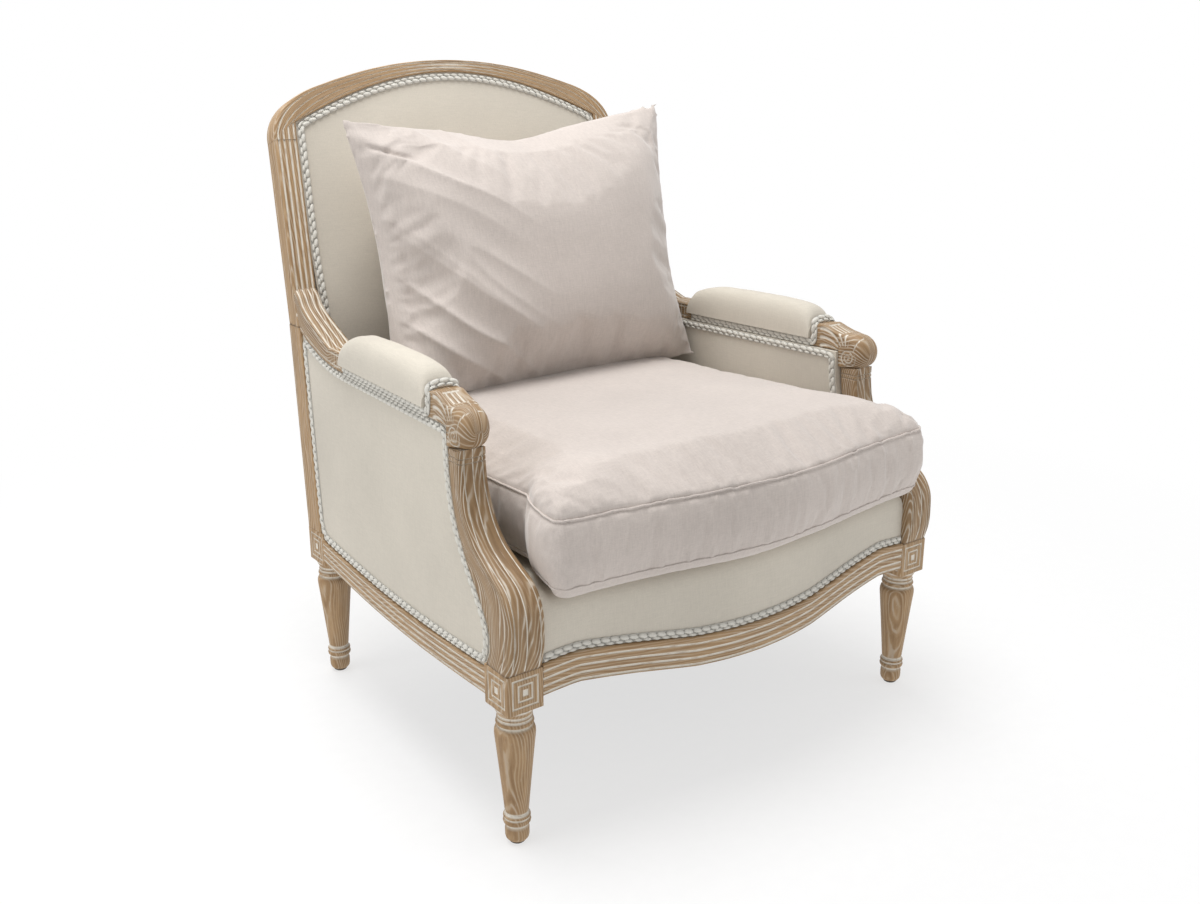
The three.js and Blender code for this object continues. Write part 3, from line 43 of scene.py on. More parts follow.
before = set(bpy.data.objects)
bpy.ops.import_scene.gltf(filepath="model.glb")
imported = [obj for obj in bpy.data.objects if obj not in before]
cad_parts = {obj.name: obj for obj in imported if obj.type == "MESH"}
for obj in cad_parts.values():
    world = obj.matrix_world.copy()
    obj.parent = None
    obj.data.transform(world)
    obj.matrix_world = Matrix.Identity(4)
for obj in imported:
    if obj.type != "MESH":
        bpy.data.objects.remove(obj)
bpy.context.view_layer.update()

# Driving sizes of the chair, in metres
GAP = 0.0003
FRONT_SPREAD, REAR_SPREAD, BLOCK = 0.750, 0.694, 0.055
LEG_HEIGHT, BLOCK_TOP, RAIL_TOP, PLATFORM_TOP = 0.204, 0.260, 0.284, 0.350
RAIL_THICKNESS, RABBET, RAIL_BOW, WEB = 0.034, 0.012, 0.040, 0.002
FRONT_RAIL_FACE, FRONT_RAIL_LIFT, FRONT_RAIL_DIP = 0.044, 0.018, 0.025
SIDE_RAIL_FACE, SIDE_RAIL_LIFT, SIDE_RAIL_DIP = 0.038, 0.010, 0.012
FRONT_LEAN, REAR_LEAN = 0.028, 0.052
ARM_WIDTH, ARM_SEAT, ARM_BOTTOM = 0.044, 0.562, 0.549
KNUCKLE_Z, KNUCKLE_R, KNUCKLE_SETBACK = 0.550, 0.028, 0.0125
NECK_SETBACK, HAND_LENGTH, HAND_RISE = 0.121, 0.093, 0.025
SWOOP_LENGTH, SWOOP_RISE = 0.190, 0.086
UNDERSIDE_REACH, UNDERSIDE_RISE, UNDERSIDE_CURVE = 0.156, 0.034, 1.8
STUMP_SWEEP, STUMP_TOP = 0.130, 0.522
POST_TOP, POST_WIDTH, POST_DEPTH = 0.588, 0.045, 0.045
POST_LEAN, BACK_RAKE = math.tan(math.radians(11.7)), math.radians(15.3)
FRAME_THICKNESS, STILE_FACE = 0.038, 0.038
BACK_HALF, SHOULDER_HALF, SHOULDER_UP = 0.356, 0.338, 0.300
CREST_UP, CREST_FACE = 0.428, 0.021
TRIM = 0.012


# Small sums
def lerp(a, b, t):
    return a + (b - a) * t


def clamp(value, low=0.0, high=1.0):
    return max(low, min(high, value))


def ease(t):
    t = clamp(t)
    return t * t * (3 - 2 * t)


def line(value, centre, reach):
    """One at a carved line and none beside it."""
    return clamp(1 - abs(value - centre) / reach)


def hump(value, centre, reach):
    """One at a place and fading smoothly to none on both sides of it."""
    return math.exp(-((value - centre) / reach) ** 2)


def steps(count):
    return [i / count for i in range(count + 1)]


def spread(start, end, count):
    return [lerp(start, end, share) for share in steps(count)]


def look_up(table, value):
    """The second entry of a table at a value of its first, which rises."""
    for (a, low), (b, high) in zip(table, table[1:]):
        if value <= b:
            return lerp(low, high, clamp((value - a) / max(b - a, 1e-9)))
    return table[-1][1]


def catmull(points, count):
    """Points of a smooth curve through the given ones."""
    found = []
    last = len(points) - 1
    for i in range(count + 1):
        at = last * i / count
        k = min(int(at), last - 1)
        w = at - k
        p0, p1, p2, p3 = (points[clamp(k + j, 0, last)] for j in (-1, 0, 1, 2))
        place = []
        for a, b, c, d in zip(p0, p1, p2, p3):
            m, n = (c - a) / 2, (d - b) / 2
            place.append(((2 * b - 2 * c + m + n) * w + (-3 * b + 3 * c - 2 * m - n)) * w * w + m * w + b)
        found.append(tuple(place))
    return found


def bezier(points, count):
    places = []
    for t in steps(count):
        row = [Vector(p) for p in points]
        while len(row) > 1:
            row = [a.lerp(b, t) for a, b in zip(row, row[1:])]
        places.append(row[0])
    return places


def middle(node):
    low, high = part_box(node)
    return (low + high) / 2


# Places that follow from the sizes and from the frame
FRONT_Y, REAR_Y = middle("front_leg_right").y, middle("rear_leg_right").y
DEPTH_SPREAD = REAR_Y - FRONT_Y
FRONT_FACE, REAR_FACE = FRONT_Y - BLOCK / 2, REAR_Y + BLOCK / 2
SIDE_FRONT, SIDE_REAR = FRONT_Y + BLOCK / 2 + GAP, REAR_Y - BLOCK / 2 - GAP
BLOCK_INNER = (FRONT_SPREAD - BLOCK) / 2
FRONT_HALF = BLOCK_INNER - GAP
REAR_HALF = (REAR_SPREAD - BLOCK) / 2 - GAP
REAR_RAIL_LOW = LEG_HEIGHT + SIDE_RAIL_LIFT
WEBBED_TOP = RAIL_TOP + 2 * (GAP + WEB) + GAP
POST_FRONT = REAR_FACE - POST_DEPTH
NECK_Y = FRONT_FACE + NECK_SETBACK
KNUCKLE_Y = NECK_Y + KNUCKLE_SETBACK
PAD_FRONT = NECK_Y + HAND_LENGTH + GAP
RAIL_SHARES = [(0, 0), (0.16, 0.03), (0.32, 0.13), (0.58, 0.6), (0.84, 1), (1, 0.84)]


def outer_x(y, z):
    """The outer face of a side of the chair."""
    along = (y - FRONT_Y) / DEPTH_SPREAD
    foot = (lerp(FRONT_SPREAD, REAR_SPREAD, along) + BLOCK) / 2
    rise = clamp(z, BLOCK_TOP, POST_TOP) - BLOCK_TOP
    return foot - rise * lerp(FRONT_LEAN, REAR_LEAN, along)


def back_front_y(z):
    """The front of the back posts and of the back frame."""
    on_post = clamp(z, BLOCK_TOP, POST_TOP) - BLOCK_TOP
    return POST_FRONT + on_post * POST_LEAN + max(z - POST_TOP, 0) * math.tan(BACK_RAKE)


def post_rise(z):
    return clamp((z - BLOCK_TOP) / (POST_TOP - BLOCK_TOP))


def post_depth(z):
    return lerp(POST_DEPTH, FRAME_THICKNESS / math.cos(BACK_RAKE), post_rise(z))


def post_outer(z):
    return lerp((REAR_SPREAD + BLOCK) / 2, BACK_HALF, post_rise(z))


def bow(x):
    return RAIL_BOW / 2 * (1 + math.cos(math.pi * min(abs(x) / FRONT_HALF, 1)))


def front_rail_low(x):
    share = min(abs(x) / FRONT_HALF, 1)
    return LEG_HEIGHT + FRONT_RAIL_LIFT - FRONT_RAIL_DIP * (1 - look_up(RAIL_SHARES, share))


def side_rail_low(y):
    along = clamp((y - SIDE_FRONT) / (SIDE_REAR - SIDE_FRONT))
    return REAR_RAIL_LOW - SIDE_RAIL_DIP * math.sin(math.pi * along)


ARM_REAR = back_front_y(ARM_SEAT + SWOOP_RISE)
SWOOP_START = ARM_REAR - SWOOP_LENGTH
PAD_REAR = SWOOP_START - GAP
STUMP_FRONT_SHARES = [
    (0, 0.93), (0.1, 0.985), (0.2, 0.995), (0.3, 0.98), (0.375, 0.91), (0.43, 0.8), (0.48, 0.6),
    (0.55, 0.35), (0.635, 0.19), (0.72, 0.1), (0.81, 0.03), (0.92, 0), (1, 0),
]
STUMP_REAR_SHARES = [
    (0, 0.51), (0.09, 0.58), (0.2, 0.53), (0.33, 0.34), (0.47, 0.1), (0.65, -0.12), (0.85, -0.235),
    (1, -0.27),
]


def stump_edge(shares):
    """A table of height and y along the front or rear edge of an arm stump."""
    return catmull([(lerp(BLOCK_TOP + GAP, STUMP_TOP, rise), NECK_Y - sweep * STUMP_SWEEP)
                    for rise, sweep in shares], 90)


STUMP_FRONT, STUMP_REAR = stump_edge(STUMP_FRONT_SHARES), stump_edge(STUMP_REAR_SHARES)
STUMP_REAR_TOP = STUMP_REAR[-1][1]
UNDERSIDE_START = back_front_y(POST_TOP) - UNDERSIDE_REACH


def stump_rear_y(z):
    return look_up(STUMP_REAR, clamp(z, BLOCK_TOP, STUMP_TOP))


def arm_bottom(y):
    return ARM_BOTTOM + UNDERSIDE_RISE * clamp((y - UNDERSIDE_START) / UNDERSIDE_REACH) ** UNDERSIDE_CURVE


def arm_inner(y, z):
    along = clamp((y - SWOOP_START) / SWOOP_LENGTH)
    return outer_x(y, z) - lerp(ARM_WIDTH, STILE_FACE, along)


def on_frame(x, up, behind):
    """A place on the raked back frame: across, up its face and behind it."""
    return Vector((
        x,
        back_front_y(POST_TOP) + up * math.sin(BACK_RAKE) + behind * math.cos(BACK_RAKE),
        POST_TOP + up * math.cos(BACK_RAKE) - behind * math.sin(BACK_RAKE),
    ))


def frame_outer(up):
    return lerp(BACK_HALF, SHOULDER_HALF, up / SHOULDER_UP)


CREST_RISE = CREST_UP - SHOULDER_UP
INNER_UP = SHOULDER_UP + CREST_RISE * 0.22
INNER_HALF = frame_outer(INNER_UP) - STILE_FACE
SHOULDER_SHARES = [(1, 0), (1.0, 0.22), (0.955, 0.47), (0.775, 0.64)]
TOP_SHARES = [(0.775, 0.64), (0.562, 0.82), (0.325, 1), (0, 1)]
INNER_SHARES = [(1, 0), (0.77, 0.39), (0.42, 1), (0, 1)]


def crest_edges(count):
    """The outer and the inner edge of half the crest, from the shoulder to the middle."""
    def curve(shares, half, low, high, places):
        return bezier([(half * across, lerp(low, high, up)) for across, up in shares], places)

    outer = curve(SHOULDER_SHARES, SHOULDER_HALF, SHOULDER_UP, CREST_UP, count)
    outer += curve(TOP_SHARES, SHOULDER_HALF, SHOULDER_UP, CREST_UP, count)[1:]
    return outer, curve(INNER_SHARES, INNER_HALF, INNER_UP, CREST_UP - CREST_FACE, 2 * count)


ARCH = [(p.x, p.y) for p in reversed(crest_edges(24)[1])]


def arch_top(x):
    return look_up(ARCH, abs(x))


def frame_rise(up, depth=0.0):
    return POST_TOP + up * math.cos(BACK_RAKE) - depth * math.sin(BACK_RAKE) * math.cos(BACK_RAKE)


def panel_half(z):
    """Half the width of the opening between the posts or stiles."""
    half = post_outer(z) - POST_WIDTH
    if z > POST_TOP:
        half = min(frame_outer((z - POST_TOP) / math.cos(BACK_RAKE)) - STILE_FACE, half)
    return half - 2 * GAP


# Sizes and colours for the user
def colour(name, description, rgb):
    return FloatVectorProperty(name=name, description=description, default=[c / 255 for c in rgb],
                               size=3, min=0, max=1, subtype="COLOR_GAMMA")


def length(name, description, value):
    return FloatProperty(name=name, description=description, default=value, min=0.0001, unit="LENGTH")


class BERGERE_PG_settings(bpy.types.PropertyGroup):
    oak: colour("Oak", "Brown of the limed oak", (168, 139, 104))
    oak_dark: colour("Oak, dark grain", "Dark bands of the oak's grain", (143, 113, 79))
    lime: colour("Lime", "White paste in the grain and the grooves", (226, 220, 208))
    linen: colour("Linen", "Fabric of the panels and arm pads", (209, 202, 189))
    velvet: colour("Cushions", "Fabric of the loose cushions", (205, 195, 188))
    braid: colour("Braid", "Plaited trim along the fabric", (234, 231, 222))
    braid_pitch: length("Braid pitch", "Length of one lobe of the plait", 0.0142)
    cord: length("Seam cord", "Radius of the cord in the upper seam of the seat cushion", 0.0017)
    groove: length("Groove depth", "Depth of the carved lines in the oak", 0.0020)
    backdrop: colour("Backdrop", "Floor and background", (255, 255, 255))


def settings():
    return bpy.context.scene.bergere


def linear(rgb, share=1.0):
    """A colour of the settings, times a share, as a shader socket takes it."""
    return [c / 12.92 if c <= 0.04045 else ((c + 0.055) / 1.055) ** 2.4
            for c in (share * part for part in rgb)] + [1.0]


# Materials
SHEEN_ROUGHNESS = 0.4


class Nodes:
    """Short ways to add and link shader nodes."""

    def __init__(self, name):
        self.material = bpy.data.materials.new(name)
        self.material.use_nodes = True
        self.tree = self.material.node_tree
        self.bsdf = self.tree.nodes["Principled BSDF"]

    def add(self, kind, inputs=None, **values):
        node = self.tree.nodes.new("ShaderNode" + kind)
        for key, value in values.items():
            setattr(node, key, value)
        for key, value in (inputs or {}).items():
            self.wire(value, node, key)
        return node

    def wire(self, source, target, socket):
        """Links a node, or a node and the number of its output, or else sets a constant."""
        if isinstance(source, tuple) and hasattr(source[0], "outputs"):
            self.tree.links.new(source[0].outputs[source[1]], target.inputs[socket])
        elif hasattr(source, "outputs"):
            self.tree.links.new(source.outputs[0], target.inputs[socket])
        else:
            target.inputs[socket].default_value = source

    def math(self, operation, a, b, clamp_it=False):
        return self.add("Math", {0: a, 1: b}, operation=operation, use_clamp=clamp_it)

    def mix(self, factor, a, b):
        return (self.add("Mix", {0: factor, 6: a, 7: b}, data_type="RGBA"), 2)

    def noise(self, vector, scale, detail=3.0, roughness=0.55):
        values = {"Vector": vector, "Scale": scale, "Detail": detail, "Roughness": roughness}
        return self.add("TexNoise", values)

    def stretch(self, vector, scale):
        return self.add("Mapping", {"Vector": vector, "Scale": scale})

    def drifted(self, vector, by, scale):
        """A vector moved by another one times a scale."""
        return self.add("VectorMath", {0: by, 1: scale, 2: vector}, operation="MULTIPLY_ADD")

    def ramp(self, source, stops):
        """Maps the range between the first two stops to the range between the last two."""
        return self.add("MapRange", dict(enumerate((source, *stops))), clamp=True)

    def bump(self, height, distance, strength=0.6):
        return self.add("Bump", {"Strength": strength, "Distance": distance, "Height": height})

    def done(self, base, roughness, normal, sheen=0.0, specular=0.5):
        values = {"Base Color": base, "Roughness": roughness, "Normal": normal, "Sheen Weight": sheen,
                  "Sheen Roughness": SHEEN_ROUGHNESS, "Specular IOR Level": specular}
        for key, value in values.items():
            self.wire(value, self.bsdf, key)
        return self.material


def oak_material(name, figure, depth):
    """Limed oak: tan wood with growth rings and pores, and white paste in them and in the carved lines."""
    s = settings()
    n = Nodes(name)
    grain = (n.add("Attribute", attribute_name="grain"), 1)
    lime = (n.add("Attribute", attribute_name="lime"), 2)
    own_random = (n.add("ObjectInfo"), 5)
    place = n.drifted(grain, own_random, (3.0, 0.05, 0.03))

    def along(x, across):
        return n.stretch(place, (x, across, across))

    slow = n.noise(along(7.0, 20.0), 1.0, 1.0)
    warp = n.drifted(place, (slow, 1), (0.0, 0.030, 0.030))
    tilted = n.add("Mapping", {"Vector": warp, "Scale": (0.25, 1.0, 1.0), "Rotation": (0.0, 0.0, 0.42),
                               "Location": (0.0, 0.01, 0.045)})
    rings = (n.add("TexWave", {"Vector": tilted, "Scale": 84.0, "Distortion": 2.6, "Detail": 2.0,
                               "Detail Scale": 1.2}, wave_type="RINGS", rings_direction="X"), 1)
    fibre = n.noise(along(22.0, 760.0), 1.0, 3.0, 0.7)
    streak = n.noise(along(7.0, 130.0), 1.0, 3.0, 0.6)
    patch = n.noise(along(16.0, 70.0), 1.0, 2.0)
    broken = n.noise(along(60.0, 200.0), 1.0, 3.0)
    brown = n.mix(n.ramp(rings, (0.1, 0.9, 0.0, 1.0)), linear(s.oak_dark, depth), linear(s.oak, depth))
    brown = n.mix(n.ramp(streak, (0.35, 0.68, 0.0, 0.6)), brown, linear(s.oak, depth * 1.12))
    brown = n.mix(n.ramp(patch, (0.45, 0.75, 0.0, 0.35)), brown, linear(s.oak_dark, depth * 0.9))
    pores = n.ramp(fibre, (0.60, 0.76, 0.0, 0.38))
    in_patch = n.ramp(patch, (0.36, 0.60, 0.15, 1.0))
    lines = n.math("MULTIPLY", n.ramp(rings, (0.74, 0.97, 0.0, figure)), in_patch)
    streaks = n.math("MAXIMUM", pores, lines)
    worn = n.ramp(broken, (0.30, 0.50, 0.55, 1.0))
    in_groove = n.math("MULTIPLY", n.ramp(lime, (0.05, 0.65, 0.0, 1.0)), worn)
    white = n.math("MAXIMUM", streaks, in_groove, clamp_it=True)
    base = n.mix(white, brown, linear(s.lime))
    base = n.mix(n.ramp(lime, (-1.0, 0.0, 0.8, 0.0)), base, linear(s.oak_dark, depth * 0.3))
    height = n.math("SUBTRACT", n.math("MULTIPLY", fibre, 0.5), n.math("MULTIPLY", streaks, 0.5))
    return n.done(base, n.ramp(white, (0.0, 1.0, 0.56, 0.82)), n.bump(height, 0.0005), specular=0.35)


def cloth_material(name, rgb, across, along, slub, weave, sheen, uneven=0.04):
    """Woven cloth: across and along are the scales of its two sets of threads."""
    n = Nodes(name)
    place = (n.add("TexCoord"), 3)
    warp = n.noise(n.stretch(place, across), 1.0, 2.0, 0.6)
    weft = n.noise(n.stretch(place, along), 1.0, 2.0, 0.6)
    threads = n.math("ADD", n.math("MULTIPLY", warp, 0.5), n.math("MULTIPLY", weft, 0.5))
    cloudy = n.noise(place, 5.0, 2.0, 0.5)
    fine = n.noise(place, 900.0, 2.0, 0.7)
    tone = n.math("ADD", n.math("MULTIPLY", threads, slub), n.math("MULTIPLY", cloudy, 1 - slub))
    light = [min(c * (1 + uneven), 1) for c in rgb]
    base = n.mix(n.ramp(tone, (0.36, 0.64, 0.0, 1.0)), linear(rgb, 1 - uneven), linear(light))
    base = n.mix(n.ramp(fine, (0.3, 0.7, 0.0, 0.25)), base, linear(rgb, (1 - uneven) * 0.9))
    height = n.math("ADD", threads, n.math("MULTIPLY", fine, 0.5))
    return n.done(base, n.ramp(fine, (0.2, 0.8, 0.86, 0.98)), n.bump(height, weave), sheen, 0.2)


def braid_material(rgb):
    """Plaited cord: twisted yarn with a little fuzz, and painted shade between the lobes and on the ribbon
    under them.
    """
    n = Nodes("plaited_braid")
    grain = (n.add("Attribute", attribute_name="grain"), 1)
    lime = (n.add("Attribute", attribute_name="lime"), 2)
    twist = (n.add("TexWave", {"Vector": grain, "Scale": 420.0, "Distortion": 1.5, "Detail": 1.0},
                   bands_direction="DIAGONAL"), 1)
    fuzz = n.noise((n.add("TexCoord"), 3), 1400.0, 2.0, 0.7)
    base = n.mix(n.ramp(twist, (0.0, 1.0, 0.22, 0.0)), linear(rgb), linear(rgb, 0.72))
    # Painted shade: the lime layer of a braid darkens it between the lobes and under them.
    base = n.mix(n.ramp(lime, (0.0, 1.0, 0.0, 0.75)), base, linear(rgb, 0.42))
    base = n.mix(n.ramp(fuzz, (0.35, 0.7, 0.0, 0.3)), base, linear(rgb, 0.85))
    return n.done(base, 0.9, n.bump(n.math("ADD", twist, fuzz), 0.0004), 0.15, 0.2)


def plain_material(name, dark, light, roughness, metallic=0.0, scale=60.0, along=(1.0, 1.0, 1.0),
                   bump=0.0003):
    """A material of two noises between a dark and a light colour, stretched along the piece."""
    n = Nodes(name)
    place = n.stretch((n.add("TexCoord"), 3), along)
    broad = n.noise(place, scale, 4.0, 0.6)
    fine = n.noise(place, scale * 12, 2.0, 0.7)
    base = n.mix(n.ramp(broad, (0.35, 0.65, 0.0, 1.0)), linear(dark), linear(light))
    base = n.mix(n.ramp(fine, (0.45, 0.7, 0.0, 0.3)), base, linear(dark, 0.8))
    n.bsdf.inputs["Metallic"].default_value = metallic
    rough = n.ramp(fine, (0.2, 0.8, roughness * 0.85, min(roughness * 1.1, 1.0)))
    return n.done(base, rough, n.bump(n.math("ADD", broad, fine), bump, 0.5))


# The CAD slot of each material, and how it is made from the settings
MATERIALS = {
    "oak": ("oak", lambda s: oak_material("limed_oak", 0.28, 1.0)),
    "oak_figured": ("oak", lambda s: oak_material("limed_oak_figured", 0.62, 0.90)),
    "braid": ("braid", lambda s: braid_material(s.braid)),
    "linen": ("linen", lambda s: cloth_material(
        "linen", s.linen, (700.0, 700.0, 60.0), (60.0, 60.0, 700.0), 0.5, 0.0003, 0.15)),
    "velvet": ("velvet", lambda s: cloth_material(
        "chenille", s.velvet, (90.0, 500.0, 700.0), (500.0, 90.0, 60.0), 0.6, 0.0005, 0.45, 0.05)),
    "pine": ("pine", lambda s: plain_material(
        "pine", (0.66, 0.52, 0.35), (0.80, 0.67, 0.49), 0.7, scale=30.0, along=(1.0, 9.0, 9.0))),
    "jute": ("webbing", lambda s: plain_material(
        "jute_webbing", (0.50, 0.41, 0.27), (0.68, 0.58, 0.40), 0.95, scale=140.0, along=(1.0, 3.0, 1.0),
        bump=0.0006)),
    "dust": ("dust_cloth", lambda s: plain_material(
        "dust_cloth", (0.10, 0.10, 0.11), (0.17, 0.17, 0.18), 0.95, scale=200.0)),
    "steel": ("steel", lambda s: plain_material(
        "zinc_steel", (0.50, 0.51, 0.53), (0.64, 0.65, 0.67), 0.38, 1.0, 90.0)),
    "nylon": ("nylon", lambda s: plain_material(
        "nylon", (0.30, 0.27, 0.24), (0.38, 0.35, 0.31), 0.5, scale=70.0)),
}
MADE = {}


def material(key):
    """Makes a material the first time that it is asked for."""
    if key not in MADE:
        MADE[key] = MATERIALS[key][1](settings())
    return MADE[key]


# Building helpers
MERGE = 0.00003
SHARP, BRAID_SHARP, CARVED_SHARP, NEVER_SHARP = 38.0, 80.0, 50.0, 180.0


def new_bmesh():
    bm = bmesh.new()
    bm.verts.layers.float_vector.new("grain")
    bm.verts.layers.float.new("lime")
    bm.loops.layers.uv.new("UVMap")
    return bm


def layers(bm):
    """Where the wood's grain runs at a vertex, and how much lime it holds; below none it is a dark joint. On
    the braids the same layer holds painted shade instead of lime.
    """
    return bm.verts.layers.float_vector["grain"], bm.verts.layers.float["lime"]


def add_rows(bm, rows, capped=True):
    """Adds a grid of quads from rows of (point, grain, lime), joined round each row and capped; on a braid
    the lime entry is painted shade.
    """
    grain, lime = layers(bm)
    uv = bm.loops.layers.uv["UVMap"]
    columns = len(rows[0]) + 1
    made = bmesh.ops.create_grid(bm, x_segments=columns - 1, y_segments=len(rows) - 1, size=1)["verts"]
    for i, vert in enumerate(made):
        vert.co, vert[grain], vert[lime] = rows[i // columns][i % columns % len(rows[0])]
    for face in {face for vert in made for face in vert.link_faces}:
        for loop in face.loops:
            loop[uv].uv = loop.vert[grain][:2]
    bmesh.ops.remove_doubles(bm, verts=made, dist=1e-6)
    if capped:
        open_edges = {e for v in made if v.is_valid for e in v.link_edges if e.is_boundary}
        bmesh.ops.holes_fill(bm, edges=list(open_edges), sides=0)


def meshed(rows):
    """A closed mesh of one grid of rows."""
    bm = new_bmesh()
    add_rows(bm, rows)
    return bm


def split_ngons(bm):
    bmesh.ops.triangulate(bm, faces=[f for f in bm.faces if len(f.verts) > 4])
    return bm


def finish_piece(bm, name, key, nodes, body="frame", sharp=SHARP, recalc=True):
    """Makes the object of a finished mesh, with its material, its body and the CAD nodes it stands for."""
    if recalc:
        bmesh.ops.recalc_face_normals(bm, faces=bm.faces)
    limit = math.radians(sharp)
    for face in bm.faces:
        face.smooth = True
    for edge in bm.edges:
        if len(edge.link_faces) == 2 and edge.calc_face_angle(0.0) > limit:
            edge.smooth = False
    mesh = bpy.data.meshes.new(name)
    bm.to_mesh(mesh)
    bm.free()
    mesh.materials.clear()
    mesh.materials.append(material(key))
    obj = bpy.data.objects.new(name, mesh)
    bpy.context.scene.collection.objects.link(obj)
    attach(obj, body)
    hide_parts(*nodes)
    return obj


def finish_pair(bm, name, key, node, sharp=SHARP):
    """Makes the right piece and its mirror image on the left."""
    left = bm.copy()
    bmesh.ops.scale(left, vec=(-1, 1, 1), verts=left.verts)
    bmesh.ops.reverse_faces(left, faces=left.faces)
    return [finish_piece(mesh, f"{name}_{side}", key, [f"{node}_{side}"], sharp=sharp)
            for side, mesh in (("right", bm), ("left", left))]


def dressed(node, name, key, bevel):
    """A bevelled copy of a CAD node."""
    bm = bmesh.new()
    bm.from_mesh(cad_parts[node].data)
    grain = bm.verts.layers.float_vector.new("grain")
    bm.verts.layers.float.new("lime")
    bmesh.ops.remove_doubles(bm, verts=bm.verts, dist=MERGE)
    bmesh.ops.dissolve_limit(bm, angle_limit=math.radians(2), verts=bm.verts, edges=bm.edges)
    edges = [e for e in bm.edges if len(e.link_faces) == 2 and e.calc_face_angle(0.0) > math.radians(30)]
    bmesh.ops.bevel(bm, geom=edges, offset=bevel, offset_type="OFFSET", segments=2, profile=0.5,
                    affect="EDGES", material=-1, clamp_overlap=True)
    for vert in bm.verts:
        vert[grain] = vert.co
    return finish_piece(split_ngons(bm), name, key, [node])


# Distance from the groove's middle as a share of its reach, depth share and lime
GROOVE_SHAPE = [(-1.0, 0.0, 0.0), (-0.5, 0.72, 0.75), (0.0, 1.0, 1.0), (0.5, 0.72, 0.75), (1.0, 0.0, 0.0)]
ROUND_SHARES = (0.29, 0.6, 1.0)
FLAT_STEPS = 3


def face_samples(width, grooves, radius):
    """Samples (distance, inset, lime) over a face with rounded ends and grooves (centre, reach, depth)."""
    start = [(radius * share, radius - math.sqrt(radius ** 2 - (radius - radius * share) ** 2), 0.0)
             for share in ROUND_SHARES]
    groups = [[(centre + reach * at, depth * down, white) for at, down, white in GROOVE_SHAPE]
              for centre, reach, depth in grooves]
    groups.append([(width - d, inset, white) for d, inset, white in reversed(start)])
    samples = start
    for group in groups:
        last = samples[-1][0]
        flat = [(lerp(last, group[0][0], i / FLAT_STEPS), 0.0, 0.0) for i in range(1, FLAT_STEPS)]
        samples = samples + flat + group
    return samples


def ring(corners, sides, radius):
    """A closed section of (point, lime) through corners, with a list of grooves for each side."""
    following = corners[1:] + corners[:1]
    turn = math.copysign(1, sum(a.x * b.y - b.x * a.y for a, b in zip(corners, following)))
    found = []
    for a, b, grooves in zip(corners, following, sides):
        width = (b - a).length
        run = (b - a) / width
        inward = Vector((-run.y, run.x)) * turn
        samples = face_samples(width, grooves, min(radius, width * 0.45))
        found += [(a + run * d + inward * inset, white) for d, inset, white in samples[:-1]]
    return found


# Legs
LEG_PROFILE = [  # radius in millimetres, height in millimetres, lime
    (9, 4.3, 0), (13.2, 5.2, 0), (15.4, 8, 0), (16.4, 12, 0), (16.5, 22, 0), (15.6, 26.4, 0.3),
    (14.2, 28.2, 1), (15.6, 29.4, 0.8), (18.2, 31.4, 0), (19, 34.2, 0), (18.2, 37, 0), (16.6, 38.8, 0.9),
    (17.4, 39.8, 0.6), (18.6, 41.2, 0), (18.2, 43, 0), (16.4, 44.6, 0.6), (14.9, 46, 1), (15.6, 47.6, 0.5),
    (16.2, 50, 0), (19.5, 85, 0), (22.9, 120, 0), (25.6, 147, 0), (27.0, 160, 0), (27.5, 166, 0),
    (27.3, 170, 0), (26.2, 173.6, 0), (23.8, 176, 0.3), (21.8, 177, 1), (21.9, 178.6, 1),
    (24.4, 179.8, 0.2), (25.5, 182, 0), (24.8, 184.6, 0), (22.4, 186.4, 0.8), (22, 187.6, 1),
    (23.2, 188.6, 0.3), (23.9, 190, 0), (23, 191.4, 0.5), (22.2, 192.6, 0.8), (23.4, 195.4, 0),
    (25.2, 198.6, 0), (26.6, 201.6, 0.4), (27.2, 203.8, 0.8),
]
MILLIMETRE = 0.001
LEG_SIDES = 40
PITH_SHIFT = 0.02
BLOCK_BEVEL = 0.0012
CARVED_SQUARES = [  # width of each step inward, its depth, lime
    (0.0055, 0.0, 0), (0.0014, -0.0016, 1), (0.0008, 0.0, 1), (0.0014, 0.0016, 0),
    (0.0050, 0.0, 0), (0.0014, -0.0015, 1), (0.0008, 0.0, 1), (0.0014, 0.0015, 0),
    (0.0040, 0.0, 0), (0.0012, -0.001, 1),
]


